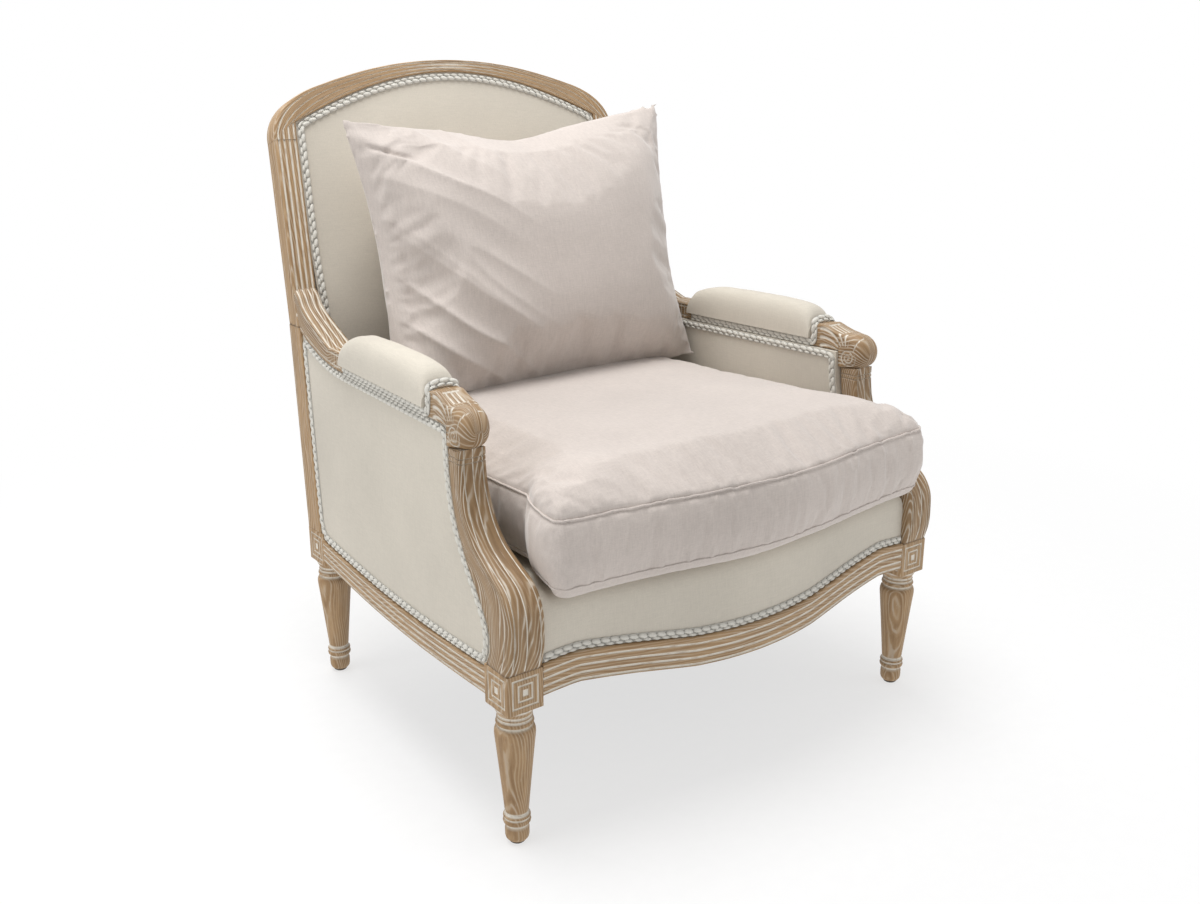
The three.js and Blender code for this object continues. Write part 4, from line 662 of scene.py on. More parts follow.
def leg_mesh(spot):
    """A turned leg under a block with nested carved squares."""
    rows = []
    for radius, height, white in LEG_PROFILE:
        row = []
        for i in range(LEG_SIDES):
            angle = 2 * math.pi * i / LEG_SIDES
            x, y = radius * MILLIMETRE * math.cos(angle), radius * MILLIMETRE * math.sin(angle)
            z = height * MILLIMETRE
            row.append((Vector((x, y, z)), Vector((z, x + PITH_SHIFT, y)), white))
        rows.append(row)
    bm = meshed(rows)
    grain, lime = layers(bm)
    height = BLOCK_TOP - LEG_HEIGHT
    block = bmesh.ops.create_cube(bm, size=1)["verts"]
    bmesh.ops.scale(bm, vec=(BLOCK, BLOCK, height), verts=block)
    bmesh.ops.translate(bm, vec=(0, 0, LEG_HEIGHT + height / 2), verts=block)
    edges = list({e for v in block for e in v.link_edges})
    done = bmesh.ops.bevel(bm, geom=edges, offset=BLOCK_BEVEL, offset_type="OFFSET", segments=2, profile=0.5,
                           affect="EDGES", material=-1)
    block = {v for f in done["faces"] for v in f.verts} | {v for v in block if v.is_valid}
    faces = {f for v in block for f in v.link_faces}
    panels = [f for f in faces if abs(f.normal.z) < 0.3 and f.calc_area() > 0.5 * BLOCK * height]
    for thickness, depth, white in CARVED_SQUARES:
        bmesh.ops.inset_individual(bm, faces=panels, thickness=thickness, depth=depth, use_even_offset=True)
        for vert in (v for panel in panels for v in panel.verts):
            vert[lime] = white
    for vert in bm.verts:
        if vert.co.z > LEG_HEIGHT - GAP / 3:
            vert[grain] = Vector((vert.co.z, vert.co.x + PITH_SHIFT, vert.co.y))
    bmesh.ops.translate(bm, vec=(spot.x, spot.y, 0), verts=bm.verts)
    return bm


class BERGERE_OT_legs(bpy.types.Operator):
    """Builds the four turned legs with their carved blocks"""
    bl_idname = "bergere.legs"
    bl_label = "Legs"

    def execute(self, context):
        for end in ("front", "rear"):
            for side in ("right", "left"):
                spot = middle(f"{end}_foot_glide_{side}")
                finish_piece(leg_mesh(spot), f"turned_{end}_leg_{side}", "oak", [f"{end}_leg_{side}"])
        return {"FINISHED"}


# Seat rails
RAIL_EDGE_RADIUS = 0.0022
REED_DEPTH_SHARE = 0.7
FRONT_REEDS = [(0.0040, 0.0021), (0.0135, 0.0021), (0.0240, 0.0021), (0.0345, 0.0019)]
SIDE_REEDS = [(0.0040, 0.0020), (0.0130, 0.0020), (0.0220, 0.0020), (0.0310, 0.0018)]
END_STEPS, END_REACH = (0, 0.0008, 0.002, 0.004, 0.007), 0.01


def rail_mesh(places, low, height, reeds, locate):
    """A rail with a rabbet, as sections at places along it: locate gives a point of the section its place."""
    depth = settings().groove * REED_DEPTH_SHARE
    grooves = [(at, reach, depth) for at, reach in reeds]
    rows = []
    for at in places:
        bottom, top = low(at), low(at) + height
        corners = [Vector(p) for p in ((0, bottom), (0, top), (RABBET, top), (RABBET, RAIL_TOP),
                                       (RAIL_THICKNESS, RAIL_TOP), (RAIL_THICKNESS, bottom))]
        section = ring(corners, [grooves, [], [], [], [], []], RAIL_EDGE_RADIUS)
        rows.append([(locate(at, p), Vector((at, p.y, p.x)), white) for p, white in section])
    return meshed(rows)


def rail_places(start, end, count):
    """Places along a rail, close together at its ends."""
    return sorted({start + e for e in END_STEPS} | {end - e for e in END_STEPS}
                  | set(spread(start + END_REACH, end - END_REACH, count)))


def side_rail_place(y, p):
    in_rabbet = p.x > RABBET - 0.001 and p.y > side_rail_low(y) + SIDE_RAIL_FACE
    return Vector((outer_x(y, p.y if in_rabbet else 0) - p.x, y, p.y))


class BERGERE_OT_seat_rails(bpy.types.Operator):
    """Builds the bowed front rail, the side rails and the rear rail"""
    bl_idname = "bergere.seat_rails"
    bl_label = "Seat rails"

    def execute(self, context):
        bm = rail_mesh(rail_places(-FRONT_HALF, FRONT_HALF, 70), front_rail_low, FRONT_RAIL_FACE, FRONT_REEDS,
                       lambda x, p: Vector((x, FRONT_FACE - bow(x) + p.x, p.y)))
        finish_piece(bm, "front_rail", "oak", ["front_seat_rail"])
        bm = rail_mesh(rail_places(SIDE_FRONT, SIDE_REAR, 44), side_rail_low, SIDE_RAIL_FACE, SIDE_REEDS,
                       side_rail_place)
        finish_pair(bm, "side_rail", "oak", "side_seat_rail")
        bm = rail_mesh(spread(-REAR_HALF, REAR_HALF, 40), lambda x: REAR_RAIL_LOW, SIDE_RAIL_FACE, SIDE_REEDS,
                       lambda x, p: Vector((x, REAR_FACE - p.x, p.y)))
        finish_piece(bm, "rear_rail", "oak", ["rear_seat_rail"])
        return {"FINISHED"}


# Arm stumps
STUMP_SINK, STUMP_RADIUS, STUMP_SLICES = 0.003, 0.0065, 76
COLLAR_HEIGHTS, COLLAR_REACH, COLLAR_WAIST = (0.5060, 0.5125), 0.0014, 0.07
JOINT_REACH = 0.0012


def knuckle_drop(y, radius=KNUCKLE_R - GAP):
    """Half the height of the round knuckle at a place along it."""
    return math.sqrt(max(radius ** 2 - (KNUCKLE_Y - y) ** 2, 0))


def stump_row(z, run, depth):
    """One level slice of a stump: run is the length of its front edge up to there."""
    bottom = BLOCK_TOP + GAP
    front, rear = look_up(STUMP_FRONT, z), look_up(STUMP_REAR, z)
    corners = [Vector((BLOCK_INNER, front)), Vector((outer_x(front, z), front)),
               Vector((outer_x(rear, z), rear)), Vector((BLOCK_INNER, rear))]
    width, side = corners[1].x - BLOCK_INNER, (corners[2] - corners[1]).length
    fade = ease((z - bottom - 0.004) / 0.02)
    front_grooves = [(0.0075, 0.0012, depth * 0.7 * fade), (width * 0.52, 0.0012, depth * 0.45 * fade),
                     (width - 0.0075, 0.0012, depth * 0.7 * fade)]
    side_grooves = [(0.006, 0.0013, depth * 0.8), (0.014, 0.0012, depth * 0.6 * fade),
                    (side - 0.006, 0.0013, depth * 0.8)]
    collar = max(line(z, height, COLLAR_REACH) for height in COLLAR_HEIGHTS)
    centre = BLOCK_INNER + width / 2
    row = []
    for p, white in ring(corners, [front_grooves, side_grooves, [], []], STUMP_RADIUS):
        level = min(z, KNUCKLE_Z - knuckle_drop(p.y, KNUCKLE_R) if p.y < KNUCKLE_Y else STUMP_TOP)
        x = centre + (p.x - centre) * (1 - COLLAR_WAIST * collar)
        y = p.y + (COLLAR_REACH * collar if p.y < (front + rear) / 2 else 0)
        lime = max(white * (0.75 if z > bottom + 0.001 else 0), collar * 0.3)
        if z < bottom + JOINT_REACH:
            lime = -0.6
        row.append((Vector((x, y, level)), Vector((run, p.y - front + 0.03, p.x - BLOCK_INNER)), lime))
    return row


def stump_mesh(depth):
    """A stump as level slices from its block to the hollow under the knuckle."""
    heights = spread(BLOCK_TOP + GAP, STUMP_TOP + STUMP_SINK, STUMP_SLICES)
    heights += [z + COLLAR_REACH * share for z in COLLAR_HEIGHTS for share in (-1, -0.5, 0, 0.5, 1)]
    heights.sort()
    rows = []
    run, before = 0.0, (look_up(STUMP_FRONT, heights[0]), heights[0])
    for z in heights:
        front = look_up(STUMP_FRONT, z)
        run += math.hypot(front - before[0], z - before[1])
        before = (front, z)
        rows.append(stump_row(z, run, depth))
    return meshed(rows)


class BERGERE_OT_stumps(bpy.types.Operator):
    """Builds the S-shaped arm stumps with their carved channels"""
    bl_idname = "bergere.stumps"
    bl_label = "Arm stumps"

    def execute(self, context):
        finish_pair(stump_mesh(settings().groove), "carved_stump", "oak_figured", "arm_stump", CARVED_SHARP)
        return {"FINISHED"}


# Arms
STEP_SHARES = [(0, 0), (0.015, 0.18)]
SWOOP_CURVE = STEP_SHARES[1:] + catmull([
    (0.265, 0.186), (0.31, 0.195), (0.455, 0.314), (0.6, 0.44), (0.74, 0.57), (0.86, 0.72), (0.924, 0.88),
    (1, 1),
], 60)
HAND_CURVE = catmull([(0, 0.628), (0.26, 0.6), (0.5, 0.8), (0.69, 1.0), (0.79, 0.976), (1, 0.976)], 40)
HAND_END_SHARE = HAND_CURVE[-1][1]
ARM_SIDE_FACES, ARM_TOP_FACES, ARM_UNDER_FACES = 34, 30, 8


def arm_top(y):
    if y < KNUCKLE_Y:
        return KNUCKLE_Z + knuckle_drop(y)
    if y < PAD_FRONT - GAP:
        return ARM_SEAT + HAND_RISE * look_up(HAND_CURVE, (y - KNUCKLE_Y) / (PAD_FRONT - GAP - KNUCKLE_Y))
    if y < SWOOP_START + 0.0005:
        return ARM_SEAT
    share = (y - SWOOP_START) / SWOOP_LENGTH
    step_end, step_rise = STEP_SHARES[1]
    if share < step_end:
        return ARM_SEAT + SWOOP_RISE * step_rise * ease(share / step_end)
    return ARM_SEAT + SWOOP_RISE * look_up(SWOOP_CURVE, share)


def arm_low(y):
    if y < KNUCKLE_Y:
        return KNUCKLE_Z - knuckle_drop(y)
    if y < STUMP_REAR_TOP:
        return STUMP_TOP + GAP
    return lerp(STUMP_TOP + GAP, arm_bottom(y), ease((y - STUMP_REAR_TOP) / 0.001))


def collar_cut(y, z):
    """The four upright lines where the swoop starts."""
    first, pitch, reach, fade = SWOOP_START + 0.0125, 0.009, 0.0013, 0.002
    cut = max(line(y, first + pitch * i, reach) for i in range(4))
    return cut * ease((z - ARM_BOTTOM - fade) / fade) * ease((ARM_SEAT + 0.014 - z) / fade)


def scroll_cut(y, z):
    """The spiral on the side of the knuckle."""
    dy, dz = y - (KNUCKLE_Y + 0.004), z - (KNUCKLE_Z - 0.009)
    away, angle = math.hypot(dy, dz), math.atan2(dz, -dy)
    pitch, reach = 0.0062, 0.0165
    turn = (away / pitch - angle / (2 * math.pi)) % 1.0
    return line(turn, 0.5, 0.2) * ease((reach - away) / 0.002)


def leaf_cut(y, z):
    """The curling petals that fan out behind the scroll."""
    dy, dz = y - (KNUCKLE_Y + 0.010), z - (KNUCKLE_Z - 0.006)
    away = math.hypot(dy, dz)
    petal_angle, curl, curl_reach, clear = 0.30, 0.9, 0.05, 0.013
    petal = (math.atan2(dz, dy) / petal_angle + curl * (away / curl_reach) ** 2) % 1.0
    cut = line(petal, 0.5, 0.26) * ease((away - clear) / 0.005) * ease((dz - dy * 0.05) / 0.004)
    return cut * ease((PAD_FRONT - 0.0165 - y) / 0.005) * ease((y - KNUCKLE_Y - 0.001) / 0.006)


def tail_cut(y, z):
    """The three long lines under the leaf, and the short one over the knuckle."""
    heights, slope = (0.5405, 0.5350, 0.5290), 0.05
    tail = max(line(z, height + slope * (y - KNUCKLE_Y), 0.0013) for height in heights)
    tail *= ease((y - KNUCKLE_Y - 0.014) / 0.004) * ease((PAD_FRONT - 0.03 - y) / 0.01)
    spur = line(y - 0.35 * (KNUCKLE_Z - z), KNUCKLE_Y - 0.006, 0.0012) * ease((z - KNUCKLE_Z) / 0.006)
    return max(tail, spur)


def side_cut(y, z):
    """How strongly the side of an arm is cut at a place."""
    if y > SWOOP_START:
        return collar_cut(y, z)
    if y >= PAD_FRONT - 0.012:
        return 0.0
    return max(scroll_cut(y, z), leaf_cut(y, z), tail_cut(y, z))


def top_cut(y, share, swoop):
    """Depth and lime of the top of an arm: three ribs on the swoop, a lip and a boxed leaf on the hand."""
    to_edge = min(share, 1 - share)
    margin = ease(to_edge / 0.05) * swoop
    rib = abs(math.sin(math.pi * clamp((share - 0.07) / 0.86) * 3))
    lip = line(y, KNUCKLE_Y + 0.0135, 0.0014)
    along = (y - KNUCKLE_Y) / (PAD_FRONT - KNUCKLE_Y)
    box = ease((along - 0.26) / 0.05) * ease((0.66 - along) / 0.05) * ease((to_edge - 0.16) / 0.05)
    petal = line((share * 5) % 1.0, 0.5, 0.3) * box
    rim = box * (1 - box) * 3
    sunk = max((1 - rib ** 0.6) * margin, lip, box * 0.5 + petal * 0.5)
    return sunk, clamp(max(clamp((0.42 - rib) / 0.3) * margin, lip, petal * 0.8, rim))


def arm_places():
    """The slices of an arm: close together over the knuckle and the carved hand."""
    reach = KNUCKLE_R - GAP
    hand_end, step, collar = PAD_FRONT - GAP, SWOOP_LENGTH * STEP_SHARES[1][0], SWOOP_START + 0.05
    places = [KNUCKLE_Y - reach * math.cos(math.pi / 2 * t) for t in steps(26)][1:]
    places += spread(KNUCKLE_Y, hand_end - 0.0002, 72)[1:]
    places += spread(hand_end + 0.0002, SWOOP_START, 30)
    places += [SWOOP_START + step * t for t in (0.3, 0.6, 1.0)]
    places += spread(SWOOP_START + step, collar, 40)[1:]
    places += spread(collar, ARM_REAR - GAP, 64)[1:]
    return places


def arm_slice(y, depth):
    """One slice of an arm: up its outer side, over its top, down its inner side and under it."""
    low, high = arm_low(y), arm_top(y)
    swoop = ease((y - SWOOP_START - 0.004) / 0.004)
    radius = lerp(0.0025, 0.0165, ease((KNUCKLE_Y + 0.020 - y) / 0.024))
    if y >= KNUCKLE_Y:
        radius = min(radius, (high - low) * 0.49)

    def inset(z):
        near = min(z - low, high - z)
        if y < KNUCKLE_Y:
            near = KNUCKLE_R - GAP - math.hypot(y - KNUCKLE_Y, z - KNUCKLE_Z)
        return radius - math.sqrt(max(radius ** 2 - max(radius - near, 0) ** 2, 0))

    def side(z, x, sign, grain_depth):
        cut = side_cut(y, z)
        edge = max(line(high - z, 0.006, 0.0014), line(z - low, 0.006, 0.0014)) * swoop
        sunk = inset(z) + depth * max(cut, edge * 0.8)
        return (Vector((x - sign * sunk, y, z)), Vector((y, z - high, grain_depth)), max(cut, edge))

    row = []
    for z in spread(low, high, ARM_SIDE_FACES)[:-1]:
        row.append(side(z, outer_x(y, z), 1, 0.0))
    x0, x1 = arm_inner(y, high), outer_x(y, high)
    for share in steps(ARM_TOP_FACES)[:-1]:
        sunk, white = top_cut(y, share, swoop)
        x = lerp(x1 - inset(high), x0 + inset(high), share)
        row.append((Vector((x, y, high - sunk * depth * 1.2)), Vector((y, -share * (x1 - x0), 0.01)), white))
    for z in spread(high, low, ARM_SIDE_FACES)[:-1]:
        row.append(side(z, arm_inner(y, z), -1, 0.05))
    x0, x1 = arm_inner(y, low) + inset(low), outer_x(y, low) - inset(low)
    for share in steps(ARM_UNDER_FACES)[:-1]:
        row.append((Vector((lerp(x0, x1, share), y, low)), Vector((y, share * (x1 - x0), 0.06)), 0.0))
    return row


class BERGERE_OT_arms(bpy.types.Operator):
    """Builds the arms with their knuckle, carved hand and ribbed swoop"""
    bl_idname = "bergere.arms"
    bl_label = "Arms"

    def execute(self, context):
        depth = settings().groove
        bm = meshed([arm_slice(y, depth) for y in arm_places()])
        finish_pair(bm, "carved_arm", "oak_figured", "arm_rail", CARVED_SHARP)
        return {"FINISHED"}


# Back frame
POST_RADIUS, STILE_RADIUS = 0.003, 0.0035
FINE_REACH, RIB_REACH, RIB_PLACES = 0.0013, 0.0021, (0.0055, 0.0145, 0.0235, 0.0325)
STILE_MARK, MARK_REACH = 0.021, 0.0022


def post_mesh(depth):
    rows = []
    for z in spread(BLOCK_TOP + GAP, POST_TOP, 40):
        outer, inner = post_outer(z), post_outer(z) - POST_WIDTH
        front, side = back_front_y(z), post_depth(z)
        corners = [Vector((inner, front)), Vector((outer, front)), Vector((outer, front + side)),
                   Vector((inner, front + side))]
        grooves = [(0.0065, FINE_REACH, depth), (0.0155, FINE_REACH, depth),
                   (side - 0.006, FINE_REACH, depth * 0.8)]
        rows.append([(Vector((p.x, p.y, z)), Vector((z, p.y - front, p.x - inner)), white)
                     for p, white in ring(corners, [[], grooves, [], []], POST_RADIUS)])
    return meshed(rows)


def frame_sweep(pairs, depth, on_post=False):
    """Sweeps the ribbed section of the back frame along pairs of outer and inner edge points."""
    shallow = depth * 0.8
    side = [(0.008, FINE_REACH, shallow), (FRAME_THICKNESS - 0.008, FINE_REACH, shallow)]
    rows = []
    run, before = 0.0, (pairs[0][0] + pairs[0][1]) / 2
    for outer, inner in pairs:
        centre = (outer + inner) / 2
        run += (centre - before).length
        before = centre
        width = (inner - outer).length
        direction = (inner - outer) / width
        corners = [Vector(p) for p in ((0, 0), (width, 0), (width, FRAME_THICKNESS), (0, FRAME_THICKNESS))]
        ribs = [(place * width / STILE_FACE, RIB_REACH, shallow) for place in RIB_PLACES]
        row = []
        for p, white in ring(corners, [ribs, [], [], side], STILE_RADIUS):
            flat = outer + direction * p.x
            place = on_frame(flat.x, flat.y, p.y)
            if on_post:
                place.z = max(place.z, POST_TOP + GAP)
                mark = line(flat.y, STILE_MARK, MARK_REACH) if p.y < POST_RADIUS + 0.001 else 0.0
                white = -0.9 if place.z < POST_TOP + 0.0016 else max(white, mark)
            row.append((place, Vector((run, p.x, p.y)), white))
        rows.append(row)
    return meshed(rows)


def crest_pairs():
    """Pairs of outer and inner edge points over the whole crest."""
    outer, inner = crest_edges(20)
    foot = Vector((frame_outer(SHOULDER_UP) - STILE_FACE, SHOULDER_UP + GAP))
    inner_line = [foot, foot.lerp(inner[0], 0.5)] + inner
    outer[0].y += GAP
    half = []
    for i, point in enumerate(outer):
        at = (len(inner_line) - 1) * i / (len(outer) - 1)
        k = min(int(at), len(inner_line) - 2)
        half.append((point, inner_line[k].lerp(inner_line[k + 1], at - k)))
    return half + [(Vector((-a.x, a.y)), Vector((-b.x, b.y))) for a, b in reversed(half[:-1])]


class BERGERE_OT_back_frame(bpy.types.Operator):
    """Builds the back posts, the ribbed stiles and the arched crest"""
    bl_idname = "bergere.back_frame"
    bl_label = "Back frame"

    def execute(self, context):
        depth = settings().groove
        finish_pair(post_mesh(depth), "grooved_post", "oak", "back_post")
        pairs = [(Vector((frame_outer(up), up)), Vector((frame_outer(up) - STILE_FACE, up)))
                 for up in spread(0, SHOULDER_UP, 70)]
        finish_pair(frame_sweep(pairs, depth, True), "ribbed_stile", "oak", "back_stile")
        finish_piece(frame_sweep(crest_pairs(), depth), "ribbed_crest", "oak", ["crest_rail"])
        dressed("back_bottom_rail", "plain_back_rail", "oak", 0.0015)
        return {"FINISHED"}


# Linen panels
OUTSIDE_FACE, OUTSIDE_THICKNESS = 0.004, 0.0074
INSIDE_FACE, INSIDE_THICKNESS, INSIDE_CROWN = 0.049, 0.0237, 0.005
BACK_SINK, BACK_CROWN, BACK_BEHIND, BACK_LIFT, TOP_CLEAR = 0.0044, 0.014, 0.0156, 0.030, 0.0012
OUTSIDE_BACK_SINK, OUTSIDE_BACK_FRONT = 0.0044, 0.0117
BORDER_SINK, BORDER_SEAT, PLATFORM_INSET = 0.006, 0.0057, 0.022
PLATFORM_EDGE_SHARES = [
    (0, 0.25), (0, 0.5), (0.03, 0.66), (0.12, 0.78), (0.27, 0.87), (0.45, 0.93), (0.8, 0.98), (1.2, 1.0),
]
SETTLING_ROUNDS = 12


def arm_panel_place(u, v, bottom, face, crown=0.0):
    """A place on a panel between stump, post, rail and arm: face is how far it lies inside the outer face."""
    y, z = 0.0, lerp(RAIL_TOP, ARM_BOTTOM, v)
    for _ in range(SETTLING_ROUNDS):
        rear = back_front_y(z) - 2 * GAP
        if z < BLOCK_TOP + 2 * GAP:
            rear = min(rear, SIDE_REAR)
        y = lerp(stump_rear_y(z) + 2 * GAP, rear, u)
        z = lerp(bottom(y), arm_bottom(y) - 2 * GAP, v)
    a = min(abs(2 * u - 1) / 0.93, 1)
    b = min(abs(2 * v - 1) / 0.90, 1)
    return Vector((outer_x(y, z) - face - crown * (1 - a * a) * (1 - b * b), y, z))


def outside_place(u, v, face=OUTSIDE_FACE):
    return arm_panel_place(u, v, lambda y: side_rail_low(y) + SIDE_RAIL_FACE + GAP, face)


def inside_place(u, v, face=INSIDE_FACE, crown=INSIDE_CROWN):
    return arm_panel_place(u, v, lambda y: WEBBED_TOP, face, crown)


def back_place(u, v, bottom, depth):
    """A place on a panel of the back: depth gives how far it lies behind the frame's front."""
    across = 2 * u - 1
    top = frame_rise(SHOULDER_UP)
    for _ in range(SETTLING_ROUNDS):
        top = frame_rise(arch_top(across * panel_half(top)))
    z = lerp(bottom, top - TOP_CLEAR, v)
    return Vector((across * panel_half(z), back_front_y(z) + depth(z), z))


def inside_back_place(u, v):
    a, b = min(abs(2 * u - 1) / 0.95, 1), min(abs(2 * v - 1) / 0.95, 1)
    crown = BACK_CROWN * (1 - a ** 3) * (1 - b ** 3)
    return back_place(u, v, RAIL_TOP + BACK_LIFT, lambda z: BACK_SINK - crown)


def outside_back_place(u, v, inset):
    place = back_place(u, v, REAR_RAIL_LOW + SIDE_RAIL_FACE + GAP, lambda z: post_depth(z) - inset)
    if place.z < BLOCK_TOP + 2 * GAP:
        place.x = clamp(place.x, -REAR_HALF, REAR_HALF)
    return place


def sheet_mesh(front, back, across, up):
    """A closed sheet between two surfaces."""
    rows = []
    for v in steps(up):
        row = [(front(u, v), Vector((u, v, 0)), 0.0) for u in steps(across)]
        row += [(back(u, v), Vector((u, v, 1)), 0.0) for u in reversed(steps(across))]
        rows.append(row)
    return split_ngons(meshed(rows))


def platform_plan():
    """Half of the seat's plan, from the middle of the front to the middle of the rear: (x, y, is front)."""
    shoulder = stump_rear_y(0.3195)
    rear = back_front_y(RAIL_TOP + 0.005) - 0.005
    plan = [(x, FRONT_FACE - bow(x) + BORDER_SINK, True) for x in spread(0, FRONT_HALF, 40)]
    plan += [(FRONT_HALF, y, False) for y in spread(FRONT_FACE + BORDER_SINK, shoulder - 2 * GAP, 12)[1:]]
    plan += [(outer_x(y, PLATFORM_TOP) - 0.054 - GAP, y, False) for y in spread(shoulder + 2 * GAP, rear, 24)]
    plan += [(x, rear, False) for x in spread(plan[-1][0], 0, 16)[1:]]
    return plan


def platform_mesh():
    """The seat's linen: a border that hangs to the front rail, under a platform with rounded edges."""
    plan = platform_plan()
    outline = plan + [(-x, y, front) for x, y, front in reversed(plan[1:-1])]
    mid_y = (FRONT_FACE + REAR_FACE) / 2
    half_x, half_y = FRONT_SPREAD / 2, (REAR_FACE - FRONT_FACE) / 2
    levels = [(BORDER_SEAT, WEBBED_TOP, False), (BORDER_SEAT, WEBBED_TOP, True), (0, WEBBED_TOP, True),
              (0, WEBBED_TOP + 0.0002, False)]
    levels += [(PLATFORM_INSET * inset, lerp(WEBBED_TOP, PLATFORM_TOP, rise), False)
               for inset, rise in PLATFORM_EDGE_SHARES]
    rows = []
    for inset, z, hangs in levels:
        row = []
        for x, y, front in outline:
            px, py = x * (1 - inset / half_x), mid_y + (y - mid_y) * (1 - inset / half_y)
            floor = front_rail_low(x) + FRONT_RAIL_FACE + 2 * GAP
            row.append((Vector((px, py, floor if hangs and front else z)), Vector((px, py, z)), 0.0))
        rows.append(row)
    return split_ngons(meshed(rows))


class BERGERE_OT_panels(bpy.types.Operator):
    """Builds the linen of the back, the arms and the seat front"""
    bl_idname = "bergere.panels"
    bl_label = "Linen panels"

    def execute(self, context):
        bm = sheet_mesh(inside_back_place,
                        lambda u, v: back_place(u, v, RAIL_TOP + BACK_LIFT, lambda z: BACK_BEHIND), 48, 48)
        finish_piece(bm, "inside_back_linen", "linen", ["inside_back_pad"])
        bm = sheet_mesh(lambda u, v: outside_back_place(u, v, OUTSIDE_BACK_FRONT),
                        lambda u, v: outside_back_place(u, v, OUTSIDE_BACK_SINK), 40, 40)
        finish_piece(bm, "outside_back_linen", "linen", ["outside_back_panel"])
        bm = sheet_mesh(outside_place, lambda u, v: outside_place(u, v, OUTSIDE_FACE + OUTSIDE_THICKNESS),
                        40, 30)
        for piece in finish_pair(bm, "outside_arm_linen", "linen", "outside_arm_panel"):
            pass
        bm = sheet_mesh(inside_place, lambda u, v: inside_place(u, v, INSIDE_FACE - INSIDE_THICKNESS, 0.0),
                        40, 30)
        for piece in finish_pair(bm, "inside_arm_linen", "linen", "inside_arm_pad"):
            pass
        piece = finish_piece(platform_mesh(), "seat_linen", "linen", ["seat_platform", "front_seat_border"])
        return {"FINISHED"}


# Arm pads
PAD_PROFILE = catmull([
    (0, 0.42), (0.02, 0.68), (0.07, 0.89), (0.2, 0.98), (0.42, 1), (0.65, 0.99), (0.82, 0.93), (0.94, 0.78),
    (0.985, 0.6), (1, 0.36),
], 90)
PAD_HALF, PAD_HEIGHT, PAD_LUMP, PAD_SIDES, PAD_SQUARENESS = 0.029, 0.054, 0.0012, 28, 0.7


def arm_pad_mesh():
    rows = []
    for along, rise in PAD_PROFILE[::2]:
        y = lerp(PAD_FRONT, PAD_REAR, along)
        centre = outer_x(y, ARM_SEAT) - ARM_WIDTH / 2
        row = []
        for i in range(PAD_SIDES + 1):
            angle = math.pi * i / PAD_SIDES
            wide = math.copysign(abs(math.cos(angle)) ** PAD_SQUARENESS, math.cos(angle))
            tall = math.sin(angle) ** PAD_SQUARENESS if 0 < i < PAD_SIDES else 0
            height = PAD_HEIGHT * rise + PAD_LUMP * noise.noise(Vector((wide * 3, y * 22, 1.0)))
            place = Vector((centre + PAD_HALF * wide, y, ARM_SEAT + GAP + height * tall))
            row.append((place, Vector((y, i / PAD_SIDES * 0.12, 0)), 0.0))
        rows.append(row)
    return split_ngons(meshed(rows))


class BERGERE_OT_arm_pads(bpy.types.Operator):
    """Builds the stuffed pads on the arms"""
    bl_idname = "bergere.arm_pads"
    bl_label = "Arm pads"

    def execute(self, context):
        for piece in finish_pair(arm_pad_mesh(), "arm_pad", "linen", "manchette"):
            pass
        return {"FINISHED"}


# Braids
PATH_STEP, PATH_ROUNDS = 0.0018, 2
BATCH_LOBES = 16
LOBE_SLICES, LOBE_SIDES, LOBE_LIFT = 8, 8, 0.0012
# Painted shade on the braid's ribbon: darkest in its middle under the lobes, less at its edges.
UNDER_SHADE, EDGE_SHADE = 0.65, 0.3
# Half length, half width, rise, side place and slant of the lobes in the two rows
UPPER_LOBE = (0.0076, 0.0037, 0.0026, 0.0020, 0.0012)
LOWER_LOBE = (0.0064, 0.0025, 0.0019, -0.0036, 0.0006)
RIBBON = [
    (-0.0058, GAP), (0.0058, GAP), (0.0058, 0.0010), (0.0042, 0.0012), (-0.0042, 0.0012), (-0.0058, 0.0010),
]
BRAID_INSET = TRIM / 2 + GAP
STILE_CLEAR, ARCH_CLEAR, HAND_CLEAR = 0.0015, 0.0021, 0.0015
BACK_BRAID_SINK, LOOP_RAISE, CUSHION_CLEAR = 0.004, 0.0007, 0.004


def smooth_path(path, closed):
    """Rounds the corners of a path of (point, outward)."""
    for _ in range(PATH_ROUNDS):
        found = [] if closed else [path[0]]
        for (a, na), (b, nb) in zip(path, path[1:] + path[:1] if closed else path[1:]):
            found += [(a.lerp(b, share), na.lerp(nb, share)) for share in (0.25, 0.75)]
        path = found if closed else found + [path[-1]]
    return path


def resample(path, step, closed):
    """Even places along a path as (point, outward), and its length."""
    if closed:
        path = path + path[:1]
    runs = [0.0]
    for (a, _), (b, _) in zip(path, path[1:]):
        runs.append(runs[-1] + (b - a).length)
    total = runs[-1]
    count = max(round(total / step), 4)
    found = []
    k = 0
    for i in range(count + (0 if closed else 1)):
        at = total * i / count
        while k < len(runs) - 2 and runs[k + 1] < at:
            k += 1
        w = clamp((at - runs[k]) / max(runs[k + 1] - runs[k], 1e-9))
        found.append((path[k][0].lerp(path[k + 1][0], w), path[k][1].lerp(path[k + 1][1], w).normalized()))
    return found, total


def braid_frames(places, closed):
    """The point, outward and sideways directions at each place of a path."""
    last = len(places) - 1
    frames = []
    for i, (at, out) in enumerate(places):
        if closed:
            before, after = places[i - 1][0], places[(i + 1) % (last + 1)][0]
        else:
            before, after = places[max(i - 1, 0)][0], places[min(i + 1, last)][0]
        ahead = (after - before).normalized()
        wide = ahead.cross(out).normalized()
        frames.append((at, wide.cross(ahead).normalized(), wide))
    return frames


